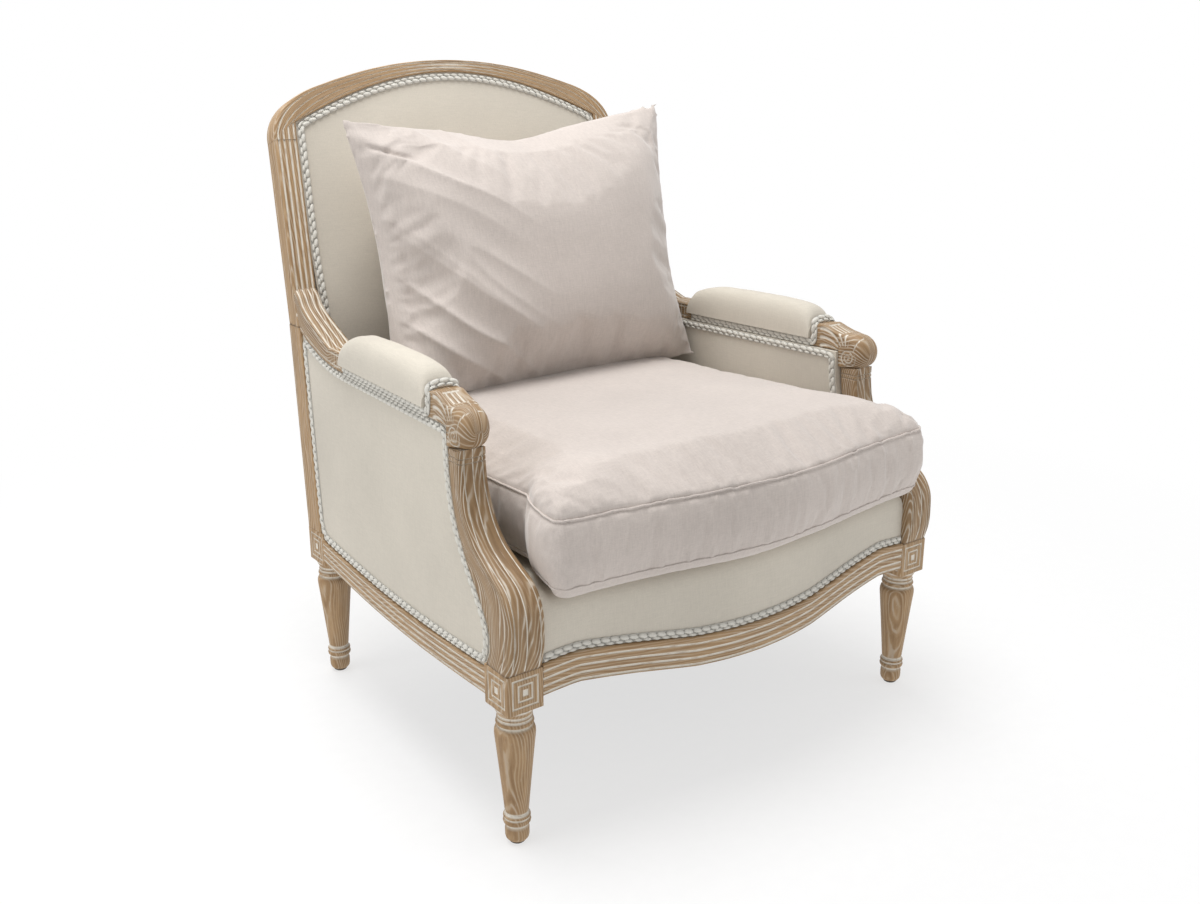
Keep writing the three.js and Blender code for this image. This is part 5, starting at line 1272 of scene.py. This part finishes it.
def lobe_rows(frames, total, closed, middle_run, lobe):
    """The slices of one lobe round its own run along the path, without those past an open end."""
    reach, wide_half, rise, centre_side, slant = lobe
    spans = len(frames) if closed else len(frames) - 1
    rows = []
    for j in range(LOBE_SLICES):
        share = -math.cos(math.pi * (j + 0.35) / (LOBE_SLICES - 0.3))
        run = middle_run + reach * share
        if not closed and not 0 <= run <= total:
            continue
        k = int(run / total * spans)
        at, out, wide = frames[k % len(frames)]
        centre = at + out.cross(wide) * (run - total * k / spans)
        centre += wide * (centre_side + slant * share) + out * (GAP + LOBE_LIFT)
        girth = math.sqrt(1 - share ** 2)
        row = []
        for m in range(LOBE_SIDES):
            angle = 2 * math.pi * m / LOBE_SIDES
            up = rise * girth * math.sin(angle) if m <= LOBE_SIDES / 2 else 0
            place = centre + wide * (wide_half * girth * math.cos(angle)) + out * up
            # Painted shade: darker towards the lobe's ends, where the next lobe meets it, and on its sides.
            shade = 0.8 * (1 - girth) ** 2 + 0.12 * abs(math.cos(angle)) ** 4
            row.append((place, Vector((run, centre_side + wide_half * math.cos(angle), 0)), shade))
        rows.append(row)
    return rows


def moved_into(bm, batch):
    """Adds a small bmesh to a large one and gives a new small one, which keeps the operators quick."""
    mesh = bpy.data.meshes.new("batch")
    batch.to_mesh(mesh)
    batch.free()
    bm.from_mesh(mesh)
    bpy.data.meshes.remove(mesh)
    return new_bmesh()


def braid_mesh(path, closed=False):
    """Two rows of slanting lobes on a ribbon, along a path of (point, outward)."""
    places, total = resample(smooth_path(path, closed), PATH_STEP, closed)
    frames = braid_frames(places, closed)
    lobes = 2 * max(round(total / settings().braid_pitch), 1)
    bm, batch = new_bmesh(), new_bmesh()
    for i in range(lobes):
        if i % BATCH_LOBES == BATCH_LOBES - 1:
            batch = moved_into(bm, batch)
        lobe = LOWER_LOBE if i % 2 else UPPER_LOBE
        rows = lobe_rows(frames, total, closed, total * (i + 0.5) / lobes, lobe)
        if len(rows) > 2:
            add_rows(batch, rows)
    moved_into(bm, batch).free()
    step = total / (len(frames) - (0 if closed else 1))
    rows = []
    # The ribbon carries painted shade: UNDER_SHADE in its middle, EDGE_SHADE at its edges.
    for i, (at, out, wide) in enumerate(frames):
        rows.append([(at + wide * side + out * lift, Vector((step * i, side, 0)),
                      UNDER_SHADE if abs(side) < 0.005 else EDGE_SHADE) for side, lift in RIBBON])
    if closed:
        rows.append(rows[0])
    add_rows(bm, rows, capped=not closed)
    return bm


def side_normal(point, sign=1):
    """The way that a side of the chair faces at a place, or away from it."""
    y, z = point.y, point.z
    taper = (outer_x(y, z) - outer_x(y + TRIM, z)) / TRIM
    lean = (outer_x(y, z) - outer_x(y, z + TRIM)) / TRIM
    return Vector((1, taper, lean)).normalized() * sign


def panel_run(place, corners):
    """Points along straight runs between corners of a panel's own u and v."""
    path = []
    for (u0, v0), (u1, v1) in zip(corners, corners[1:]):
        path += [place(lerp(u0, u1, share), lerp(v0, v1, share)) for share in steps(14)[:-1]]
    return path + [place(*corners[-1])]


def front_path():
    path = []
    for x in spread(FRONT_HALF - 0.001, -FRONT_HALF + 0.001, 60):
        z = front_rail_low(x) + FRONT_RAIL_FACE + BRAID_INSET + GAP
        path.append((Vector((x, FRONT_FACE - bow(x) + BORDER_SINK, z)), Vector((0, -1, 0))))
    return path


def manchette_path():
    """Along the outer side of an arm, over its hand in front of the pad and back along the inner side."""
    z = ARM_SEAT - BRAID_INSET - 2 * GAP
    hand = ARM_SEAT + HAND_RISE * HAND_END_SHARE
    front = PAD_FRONT - BRAID_INSET - HAND_CLEAR
    forward = Vector((0, -0.8, 0.6))
    path = []
    for side, edge_x in ((1, outer_x), (-1, arm_inner)):
        def face(y, height, inward=0.0):
            return Vector((edge_x(y, height) - side * inward, y, height))

        wing = [face(y, z) for y in spread(PAD_REAR - BRAID_INSET, PAD_FRONT + TRIM, 24)]
        wing += [face(lerp(PAD_FRONT, front, 0.5), z), face(front, ARM_SEAT), face(front, hand - 0.006)]
        wing = [(p, side_normal(p, side)) for p in wing]
        top = face(front + HAND_CLEAR, hand + HAND_CLEAR, 0.001)
        wing.append((top, (side_normal(top, side) + forward).normalized()))
        wing += [(face(front + 2 * HAND_CLEAR, hand + rise, along), forward)
                 for along, rise in ((0.006, 0.0045), (0.014, 0.0062), (0.022, 0.0068))]
        path += wing if side == 1 else wing[::-1]
    return path


def arch_path(depth, bottom, facing):
    """Up one stile, under the arch and down the other: depth is how far behind the frame's front it lies."""
    gap, start = BRAID_INSET + STILE_CLEAR, depth(POST_TOP)

    def place(x, z):
        return Vector((x, back_front_y(z) + depth(z), z))

    top = frame_rise(INNER_UP - BRAID_INSET, start)
    left = [place(-(panel_half(z) - gap), z) for z in spread(bottom, top, 24)]
    half = panel_half(frame_rise(INNER_UP)) - gap
    arch = [place(x, frame_rise(arch_top(x) - BRAID_INSET - ARCH_CLEAR, start))
            for x in spread(-half, half, 40)[1:-1]]
    path = left + arch + [Vector((-p.x, p.y, p.z)) for p in reversed(left)]
    found = []
    for p in path:
        rise = place(0, p.z + TRIM) - place(0, p.z - TRIM)
        found.append((p, Vector((0, facing, -facing * rise.y / rise.z)).normalized()))
    return found


class BERGERE_OT_braids(bpy.types.Operator):
    """Builds the plaited braid along the edges of the fabric"""
    bl_idname = "bergere.braids"
    bl_label = "Braids"

    def execute(self, context):
        height = ARM_BOTTOM - RAIL_TOP
        u, v = BRAID_INSET / (SIDE_REAR - SIDE_FRONT) * 1.25, (BRAID_INSET + 2 * GAP) / height
        top = 1 - v + LOOP_RAISE / height
        start = (PLATFORM_TOP + GAP + CUSHION_CLEAR - RAIL_TOP) / height
        loop = panel_run(outside_place, [(u, v), (u, top), (1 - u, top), (1 - u, v), (u, v)])[:-1]
        run = panel_run(inside_place, [(u, start), (u, 1 - v), (1 - u / 2, 1 - v)])

        def single(path, name, node):
            finish_piece(braid_mesh(path), name, "braid", [node], sharp=BRAID_SHARP)

        def pair(path, name, node, closed=False):
            finish_pair(braid_mesh(path, closed), name, "braid", node, BRAID_SHARP)

        single(front_path(), "front_plait", "front_braid")
        pair([(p, side_normal(p)) for p in loop], "outside_arm_plait", "outside_arm_braid", True)
        pair([(p, side_normal(p, -1)) for p in run], "inside_arm_plait", "inside_arm_braid")
        pair(manchette_path(), "arm_pad_plait", "manchette_braid")
        single(arch_path(lambda z: BACK_BRAID_SINK, POST_TOP + 0.001, -1), "inside_back_plait",
               "inside_back_braid")
        single(arch_path(lambda z: post_depth(z) - BACK_BRAID_SINK, BLOCK_TOP + 0.0025, 1),
               "outside_back_plait", "outside_back_braid")
        return {"FINISHED"}


# Cushions: the places, then the depths of the seat cushion's forms and of the back cushion's folds
CUSHION_LOW = PLATFORM_TOP + GAP
CUSHION_FRONT, CUSHION_REAR = FRONT_FACE - 0.028, back_front_y(PLATFORM_TOP) - 0.014
CUSHION_BOX, CUSHION_FALL, LOWER_SEAM = 0.111, 0.016, CUSHION_LOW + 0.021
EAR_LENGTH, EAR_HALF = 0.122, BLOCK_INNER - 0.0055
OUTLINE_STEP = 0.004
LOWER_CORD_SHARE = 13 / 17
PILLOW_HALF, PILLOW_WAIST, PILLOW_SHIFT, PILLOW_TALL = 0.309, 0.028, 0.006, 0.436
PRESSURE, AIR_FRAMES = 4.0, 16
SEAT_SEAM_SINK, SEAT_LOWER_SINK, SEAT_SETTLE, SEAT_SWELL = 0.0018, 0.0016, 0.0012, 0.0022
SEAT_GATHER, SEAT_RADIAL, BORDER_DROOP, EAR_PUSH = 0.0048, 0.0022, 0.009, 0.009
FOLD_DEPTH, BROAD_DEPTH, FOLD_SETTLE, SLANT_ANGLE, SLANT_DRIFT = 0.0090, 0.0080, 0.0075, 0.62, 0.016
FINE_DEPTH, FOOT_DEPTH, EDGE_DEPTH, CORNER_DEPTH, PILLOW_SWELL = 0.0022, 0.003, 0.0035, 0.0075, 0.0016
LEAN_LOW, LEAN_HIGH, EAR_LIFT, SLUMP = 0.003, 0.010, 0.013, 0.012


def evaluated(obj):
    return bpy.data.meshes.new_from_object(obj.evaluated_get(bpy.context.evaluated_depsgraph_get()))


def remeshed(node, name, voxel, shrink):
    """A merged, remeshed copy of a CAD node, shrunk a little."""
    bm = bmesh.new()
    bm.from_mesh(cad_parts[node].data)
    bmesh.ops.remove_doubles(bm, verts=bm.verts, dist=MERGE)
    mesh = bpy.data.meshes.new(name)
    bm.to_mesh(mesh)
    bm.free()
    obj = bpy.data.objects.new(name, mesh)
    bpy.context.scene.collection.objects.link(obj)
    remesh = obj.modifiers.new("remesh", "REMESH")
    remesh.mode, remesh.voxel_size, remesh.adaptivity = "VOXEL", voxel, 0.0
    baked = evaluated(obj)
    obj.modifiers.clear()
    obj.data = baked
    normals = [v.normal.copy() for v in baked.vertices]
    for vert, normal in zip(baked.vertices, normals):
        vert.co -= normal * shrink
    return obj


def inflate(obj, pinned, growth, cap):
    """Runs a short cloth simulation with air pressure and keeps each vertex within cap of its start."""
    start = [v.co.copy() for v in obj.data.vertices]
    normals = [v.normal.copy() for v in obj.data.vertices]
    group = obj.vertex_groups.new(name="pinned")
    group.add([i for i, (co, normal) in enumerate(zip(start, normals)) if pinned(co, normal)], 1.0, "REPLACE")
    cloth = obj.modifiers.new("cloth", "CLOTH")
    values = cloth.settings
    values.quality, values.mass, values.air_damping = 5, 0.3, 2.0
    values.tension_stiffness = values.compression_stiffness = 12.0
    values.shear_stiffness, values.bending_stiffness = 4.0, 0.35
    values.effector_weights.gravity = 0.0
    values.use_pressure, values.uniform_pressure_force = True, PRESSURE
    values.vertex_group_mass = "pinned"
    values.shrink_min = -growth
    cloth.point_cache.frame_start, cloth.point_cache.frame_end = 1, AIR_FRAMES
    for number in range(1, AIR_FRAMES + 1):
        bpy.context.scene.frame_set(number)
    baked = evaluated(obj)
    obj.modifiers.clear()
    obj.data = baked
    for vert, first in zip(baked.vertices, start):
        moved = vert.co - first
        if moved.length > cap:
            vert.co = first + moved * (cap / moved.length)
    bpy.context.scene.frame_set(1)


def subdivided(obj):
    """A bmesh of the piece with one level of subdivision."""
    smoother = obj.modifiers.new("smoother", "SUBSURF")
    smoother.levels = smoother.render_levels = 1
    mesh = evaluated(obj)
    bm = new_bmesh()
    bm.from_mesh(mesh)
    bpy.data.objects.remove(obj)
    bm.normal_update()
    return bm


def smoothed(bm, verts, rounds):
    for _ in range(rounds):
        bmesh.ops.smooth_vert(bm, verts=verts, factor=0.5, use_axis_x=True, use_axis_y=True, use_axis_z=True)


def tube(bm, points, radius, sides=6):
    """Adds a closed cord along a loop of (point, outward)."""
    count = len(points)
    angles = [2 * math.pi * j / sides for j in range(sides)]
    rows = []
    run = 0.0
    for i, (at, out) in enumerate(points):
        ahead = (points[(i + 1) % count][0] - points[i - 1][0]).normalized()
        run += (at - points[i - 1][0]).length if i else 0.0
        wide = ahead.cross(out).normalized()
        up = wide.cross(ahead)
        rows.append([(at + (wide * math.cos(a) + up * math.sin(a)) * radius,
                      Vector((run, radius * a, 0)), 0.0) for a in angles])
    add_rows(bm, rows + rows[:1], capped=False)


def crease(place, sharpness):
    """Soft narrow ridges of noise, from none to one."""
    return (1 - abs(noise.noise(place))) ** sharpness


def upper_seam(y):
    return CUSHION_LOW + CUSHION_BOX - CUSHION_FALL * (y - CUSHION_FRONT) / (CUSHION_REAR - CUSHION_FRONT)


def cushion_outline():
    """The plan of the seat cushion as a closed loop of even places, and a tree to find the nearest one."""
    def side_x(y):
        return min(outer_x(y, 0.461) - 0.074, EAR_HALF * 0.905)

    notch = CUSHION_FRONT + EAR_LENGTH
    rear_x = side_x(CUSHION_REAR)
    half = [(x, CUSHION_FRONT - bow(x)) for x in spread(0, EAR_HALF * 0.97, 12)]
    half += [(EAR_HALF * wide, CUSHION_FRONT + EAR_LENGTH * along)
             for wide, along in ((1, 0.1), (0.99, 0.35), (0.965, 0.65), (0.94, 0.9))]
    half += [(side_x(y), y) for y in spread(notch, lerp(notch, CUSHION_REAR, 0.83), 6)]
    half += [(rear_x, lerp(notch, CUSHION_REAR, 0.955)), (rear_x * 0.975, lerp(notch, CUSHION_REAR, 0.99)),
             (rear_x * 0.5, CUSHION_REAR), (0, CUSHION_REAR)]
    loop = half + [(-x, y) for x, y in reversed(half[1:-1])]
    path = [(Vector((x, y, 0)), Vector((0, 0, 1))) for x, y in loop]
    outline = [at for at, _ in resample(path, OUTLINE_STEP, True)[0]]
    tree = KDTree(len(outline))
    for i, at in enumerate(outline):
        tree.insert(at, i)
    tree.balance()
    return outline, tree


def dress_seat_cushion(bm, outline, tree):
    """Sinks the seams into the cushion, gathers the cloth beside them and lays a cord in each seam."""
    for vert in bm.verts:
        at = vert.co
        _, i, away = tree.find(Vector((at.x, at.y, 0)))
        run = i * OUTLINE_STEP
        drop = at.z - LOWER_SEAM
        upper, lower = math.hypot(away, at.z - upper_seam(at.y)), math.hypot(away, drop)
        front = ease((-0.30 - at.y) / 0.06)
        sunk = SEAT_SEAM_SINK * hump(upper, 0, 0.005) + SEAT_LOWER_SINK * hump(lower, 0, 0.0045)
        gather = crease(Vector((run * 26, 0.3, at.z * 5)), 5) * math.exp(-upper / 0.045)
        gather += 0.8 * crease(Vector((run * 34, 4.7, at.z * 6)), 5) * math.exp(-lower / 0.030)
        gather *= (1 - hump(min(upper, lower), 0, 0.006)) * lerp(0.2, 1.0, ease(drop / 0.01))
        radial = crease(Vector((at.x * 19, 8.1, at.y * 3.5)), 6) * math.exp(-max(upper - 0.01, 0) / 0.10)
        radial *= ease((vert.normal.z - 0.4) / 0.4)
        swell = SEAT_SWELL * noise.noise(at * 9)
        move = swell - sunk + SEAT_GATHER * gather * lerp(0.35, 1, front)
        move += SEAT_RADIAL * radial * front - SEAT_SETTLE
        vert.co = at + vert.normal * move
        over_border = ease((FRONT_FACE - bow(at.x) + 0.004 - at.y) / 0.016) if at.z < 0.42 else 0.0
        vert.co.z -= BORDER_DROOP * over_border * ease((0.415 - at.z) / 0.06)
        ear = ease((at.x - 0.25) / 0.09) * ease((-0.345 - at.y) / 0.03) * ease((at.z - 0.37) / 0.03)
        vert.co.x += EAR_PUSH * ear * ease((0.485 - at.z) / 0.03)
    bm.normal_update()
    surface = BVHTree.FromBMesh(bm)
    cord = settings().cord
    for height, radius in ((upper_seam, cord), (lambda y: LOWER_SEAM, cord * LOWER_CORD_SHARE)):
        path = [surface.find_nearest(Vector((at.x, at.y, height(at.y))))[:2] for at in outline]
        following = path[1:] + path[:1]
        path = [(before * 0.25 + at * 0.5 + after * 0.25, out)
                for (before, _), (at, out), (after, _) in zip(path[-1:] + path[:-1], path, following)]
        tube(bm, [(at + out * radius * 0.45, out) for at, out in path], radius)


class BERGERE_OT_seat_cushion(bpy.types.Operator):
    """Builds the boxed T-shaped seat cushion with corded seams"""
    bl_idname = "bergere.seat_cushion"
    bl_label = "Seat cushion"

    def execute(self, context):
        obj = remeshed("seat_cushion", "boxed_seat_cushion", 0.0065, 0.002)
        outline, tree = cushion_outline()

        def pinned(co, normal):
            away = tree.find(Vector((co.x, co.y, 0)))[2]
            near = min(abs(co.z - upper_seam(co.y)), abs(co.z - LOWER_SEAM))
            return (near < 0.005 and away < 0.014) or co.z < LOWER_SEAM - 0.002

        inflate(obj, pinned, 0.02, 0.010)
        bm = subdivided(obj)
        dress_seat_cushion(bm, outline, tree)
        piece = finish_piece(bm, "boxed_seat_cushion", "velvet", ["seat_cushion"], "seat_cushion",
                             NEVER_SHARP, False)
        return {"FINISHED"}


def pillow_share(co, foot):
    """A place on the back cushion as shares across and up, each from -1 to 1."""
    b = clamp((co.z - foot) / PILLOW_TALL) * 2 - 1
    a = (co.x - PILLOW_SHIFT) / (PILLOW_HALF - PILLOW_WAIST * (1 - b * b))
    return a, b


def dress_back_cushion(bm, foot):
    """Folds the back cushion: slanting folds on its left, an edge crease and gathers along the seams."""
    for vert in bm.verts:
        at = vert.co
        a, b = pillow_share(at, foot)
        rim = max(abs(a), abs(b))
        facing = ease((-vert.normal.y - 0.1) / 0.4)
        left = ease((-0.02 - a) / 0.75)
        inside = ease((0.985 - rim) / 0.1)
        slant = at.z * math.cos(SLANT_ANGLE) + at.x * math.sin(SLANT_ANGLE)
        slant += SLANT_DRIFT * noise.noise(Vector((at.x * 7, 2.0, at.z * 7)))
        fold = crease(Vector((slant * 17, at.x * 2.2, 1.7)), 4)
        broad = crease(Vector((slant * 9, at.x * 1.6, 6.2)), 3)
        fine = crease(Vector((at.x * 30, 3.3, at.z * 30)), 5) * math.exp(-(1 - min(rim, 1)) / 0.09)
        fine *= ease((0.975 - rim) / 0.04)
        foot_gather = crease(Vector((at.x * 22, 5.5, at.z * 3)), 4) * math.exp(-(b + 1) / 0.16)
        edge = hump(a, -0.90, 0.022) * ease((0.55 - b) / 0.3) * ease((b + 0.85) / 0.2)
        along = (a + 0.95) / 0.24
        corner = hump(b, 0.78 - 0.09 * along, 0.020) * ease(along / 0.3) * ease((1.1 - along) / 0.5)
        move = inside * facing * left * (FOLD_DEPTH * fold + BROAD_DEPTH * broad - FOLD_SETTLE)
        move += facing * (FINE_DEPTH * fine + FOOT_DEPTH * foot_gather)
        move -= facing * (EDGE_DEPTH * edge + CORNER_DEPTH * corner)
        move += PILLOW_SWELL * noise.noise(at * 11) * inside
        vert.co = at + vert.normal * move
        vert.co.x += ease(a) * lerp(LEAN_LOW, LEAN_HIGH, ease((b + 0.35) / 0.5))
        vert.co.z += EAR_LIFT * clamp((a + 0.05) / 1.05) ** 1.5 * ease((b - 0.3) / 0.6)
        vert.co.y -= SLUMP * ease(0.3 - a) * ease((0.1 - b) / 0.9) * facing


class BERGERE_OT_back_cushion(bpy.types.Operator):
    """Builds the loose knife-edged back cushion with its folds"""
    bl_idname = "bergere.back_cushion"
    bl_label = "Back cushion"

    def execute(self, context):
        foot = upper_seam(CUSHION_FRONT) + 0.025
        obj = remeshed("back_cushion", "loose_back_cushion", 0.006, 0.0008)

        def pinned(co, normal):
            a, b = (abs(share) for share in pillow_share(co, foot))
            return max(a, b) > 0.955 or min(a, b) > 0.80 or abs(normal.y) < 0.5

        inflate(obj, pinned, 0.035, 0.012)
        bm = subdivided(obj)
        smoothed(bm, bm.verts, 3)
        smoothed(bm, [v for v in bm.verts if min(abs(share) for share in pillow_share(v.co, foot)) > 0.88], 8)
        bm.normal_update()
        dress_back_cushion(bm, foot)
        piece = finish_piece(bm, "loose_back_cushion", "velvet", ["back_cushion"], "back_cushion",
                             NEVER_SHARP, False)
        return {"FINISHED"}


# Underside
class BERGERE_OT_underside(bpy.types.Operator):
    """Dresses the webbing, corner blocks, screws, glides and dust cover"""
    bl_idname = "bergere.underside"
    bl_label = "Underside"

    def execute(self, context):
        for run, count in (("long", 4), ("cross", 3)):
            for i in range(1, count + 1):
                dressed(f"{run}_web_strap_{i}", f"jute_{run}_strap_{i}", "jute", 0.0004)
        for end in ("front", "rear"):
            for side in ("right", "left"):
                dressed(f"{end}_corner_block_{side}", f"pine_{end}_block_{side}", "pine", 0.001)
                dressed(f"{end}_corner_screw_{side}", f"steel_{end}_screw_{side}", "steel", 0.0003)
                dressed(f"{end}_foot_glide_{side}", f"nylon_{end}_glide_{side}", "nylon", 0.0004)
        cover = dressed("dust_cover", "black_dust_cover", "dust", 0.0002)
        return {"FINISHED"}


# Stage
CAMERA_PLACE, CAMERA_PITCH, CAMERA_HEADING = (-1.1419, FRONT_Y - 1.2056, 0.9915), 17.4, 36.9
CAMERA_LENS, SENSOR_WIDTH = 37.04, 36.0
SURROUND_LIGHT = 0.43
LAMP_TARGET = Vector((0, 0, 0.45))
LAMPS = [  # name, place, diameter, power
    ("key", (-0.5, 0.1, 3.5), 2.0, 88), ("side", (-3.4, 0.5, 1.2), 2.4, 20),
    ("fill", (2.6, -2.4, 1.2), 2.4, 14), ("rim", (0.4, 2.2, 2.6), 2.0, 18),
]


def add_camera(scene):
    """The camera at the photo's angle, fitted to the chair's feet, blocks and back."""
    data = bpy.data.cameras.new("camera")
    data.lens, data.sensor_width, data.clip_start = CAMERA_LENS, SENSOR_WIDTH, 0.05
    camera = bpy.data.objects.new("camera", data)
    scene.collection.objects.link(camera)
    pitch, heading = math.radians(CAMERA_PITCH), math.radians(CAMERA_HEADING)
    aim = Vector((math.sin(heading) * math.cos(pitch), math.cos(heading) * math.cos(pitch), -math.sin(pitch)))
    camera.location = CAMERA_PLACE
    camera.rotation_euler = aim.to_track_quat("-Z", "Y").to_euler()
    scene.camera = camera


def add_surround(scene):
    """A world that is white to the camera, in gloss and through glass, and lights the chair more softly."""
    world = bpy.data.worlds.new("surround")
    scene.world = world
    world.use_nodes = True
    tree = world.node_tree
    rays = tree.nodes.new("ShaderNodeLightPath")
    seen = rays.outputs["Is Camera Ray"]
    for name in ("Is Glossy Ray", "Is Transmission Ray"):
        either = tree.nodes.new("ShaderNodeMath")
        either.operation, either.use_clamp = "ADD", True
        tree.links.new(seen, either.inputs[0])
        tree.links.new(rays.outputs[name], either.inputs[1])
        seen = either.outputs[0]
    level = tree.nodes.new("ShaderNodeMapRange")
    level.inputs["To Min"].default_value = SURROUND_LIGHT
    level.inputs["To Max"].default_value = 1.0
    tree.links.new(seen, level.inputs["Value"])
    back = tree.nodes["Background"]
    tree.links.new(level.outputs[0], back.inputs["Strength"])
    back.inputs["Color"].default_value = linear(settings().backdrop)


def floor_material():
    """White that glows more and more with the distance, so that the floor ends in the white surround."""
    n = Nodes("white_floor")
    place = (n.add("TexCoord"), 3)
    far = n.add("VectorMath", {0: place}, operation="LENGTH")
    speck = n.noise(place, 40.0)
    base = n.mix(n.ramp(speck, (0.4, 0.6, 0.0, 1.0)), (0.90, 0.90, 0.90, 1), (0.92, 0.92, 0.92, 1))
    for key, value in (("Base Color", base), ("Roughness", 0.9), ("Specular IOR Level", 0.0)):
        n.wire(value, n.bsdf, key)
    glow = n.add("Emission", {"Color": (1, 1, 1, 1)})
    blend = n.add("MixShader", {0: n.ramp((far, 1), (0.6, 1.8, 0.66, 1.0)), 1: n.bsdf, 2: glow})
    n.wire(blend, n.tree.nodes["Material Output"], "Surface")
    return n.material


def add_floor(scene):
    bm = bmesh.new()
    bmesh.ops.create_grid(bm, x_segments=1, y_segments=1, size=9)
    mesh = bpy.data.meshes.new("floor")
    bm.to_mesh(mesh)
    bm.free()
    mesh.materials.append(floor_material())
    floor = bpy.data.objects.new("floor", mesh)
    scene.collection.objects.link(floor)


def add_lamp(scene, name, place, size, power):
    data = bpy.data.lights.new(name, "AREA")
    data.shape, data.size, data.energy = "DISK", size, power
    obj = bpy.data.objects.new(name, data)
    scene.collection.objects.link(obj)
    obj.location = place
    obj.rotation_euler = (LAMP_TARGET - Vector(place)).to_track_quat("-Z", "Y").to_euler()


class BERGERE_OT_stage(bpy.types.Operator):
    """Sets up the camera, the lamps and the white floor"""
    bl_idname = "bergere.stage"
    bl_label = "Stage"

    def execute(self, context):
        scene = context.scene
        scene.view_settings.view_transform = "Standard"
        add_camera(scene)
        add_surround(scene)
        add_floor(scene)
        for lamp in LAMPS:
            add_lamp(scene, *lamp)
        return {"FINISHED"}


class BERGERE_PT_panel(bpy.types.Panel):
    """Lists the sizes, the colours and the pieces of the chair"""
    bl_label = "Bergere armchair"
    bl_idname = "BERGERE_PT_panel"
    bl_space_type = "VIEW_3D"
    bl_region_type = "UI"
    bl_category = "Bergere"

    def draw(self, context):
        for name in BERGERE_PG_settings.__annotations__:
            self.layout.prop(context.scene.bergere, name)
        for operator in OPERATORS:
            self.layout.operator(operator.bl_idname)


OPERATORS = [
    BERGERE_OT_stage, BERGERE_OT_legs, BERGERE_OT_seat_rails, BERGERE_OT_stumps, BERGERE_OT_arms,
    BERGERE_OT_back_frame, BERGERE_OT_panels, BERGERE_OT_arm_pads, BERGERE_OT_braids,
    BERGERE_OT_seat_cushion, BERGERE_OT_back_cushion, BERGERE_OT_underside,
]


def register():
    bpy.utils.register_class(BERGERE_PG_settings)
    for operator in OPERATORS:
        bpy.utils.register_class(operator)
    bpy.utils.register_class(BERGERE_PT_panel)
    bpy.types.Scene.bergere = PointerProperty(type=BERGERE_PG_settings)


def unregister():
    del bpy.types.Scene.bergere
    bpy.utils.unregister_class(BERGERE_PT_panel)
    for operator in reversed(OPERATORS):
        bpy.utils.unregister_class(operator)
    bpy.utils.unregister_class(BERGERE_PG_settings)


def main():
    register()
    for operator in OPERATORS:
        group, name = operator.bl_idname.split(".")
        getattr(getattr(bpy.ops, group), name)()


if __name__ == "__main__":
    main()
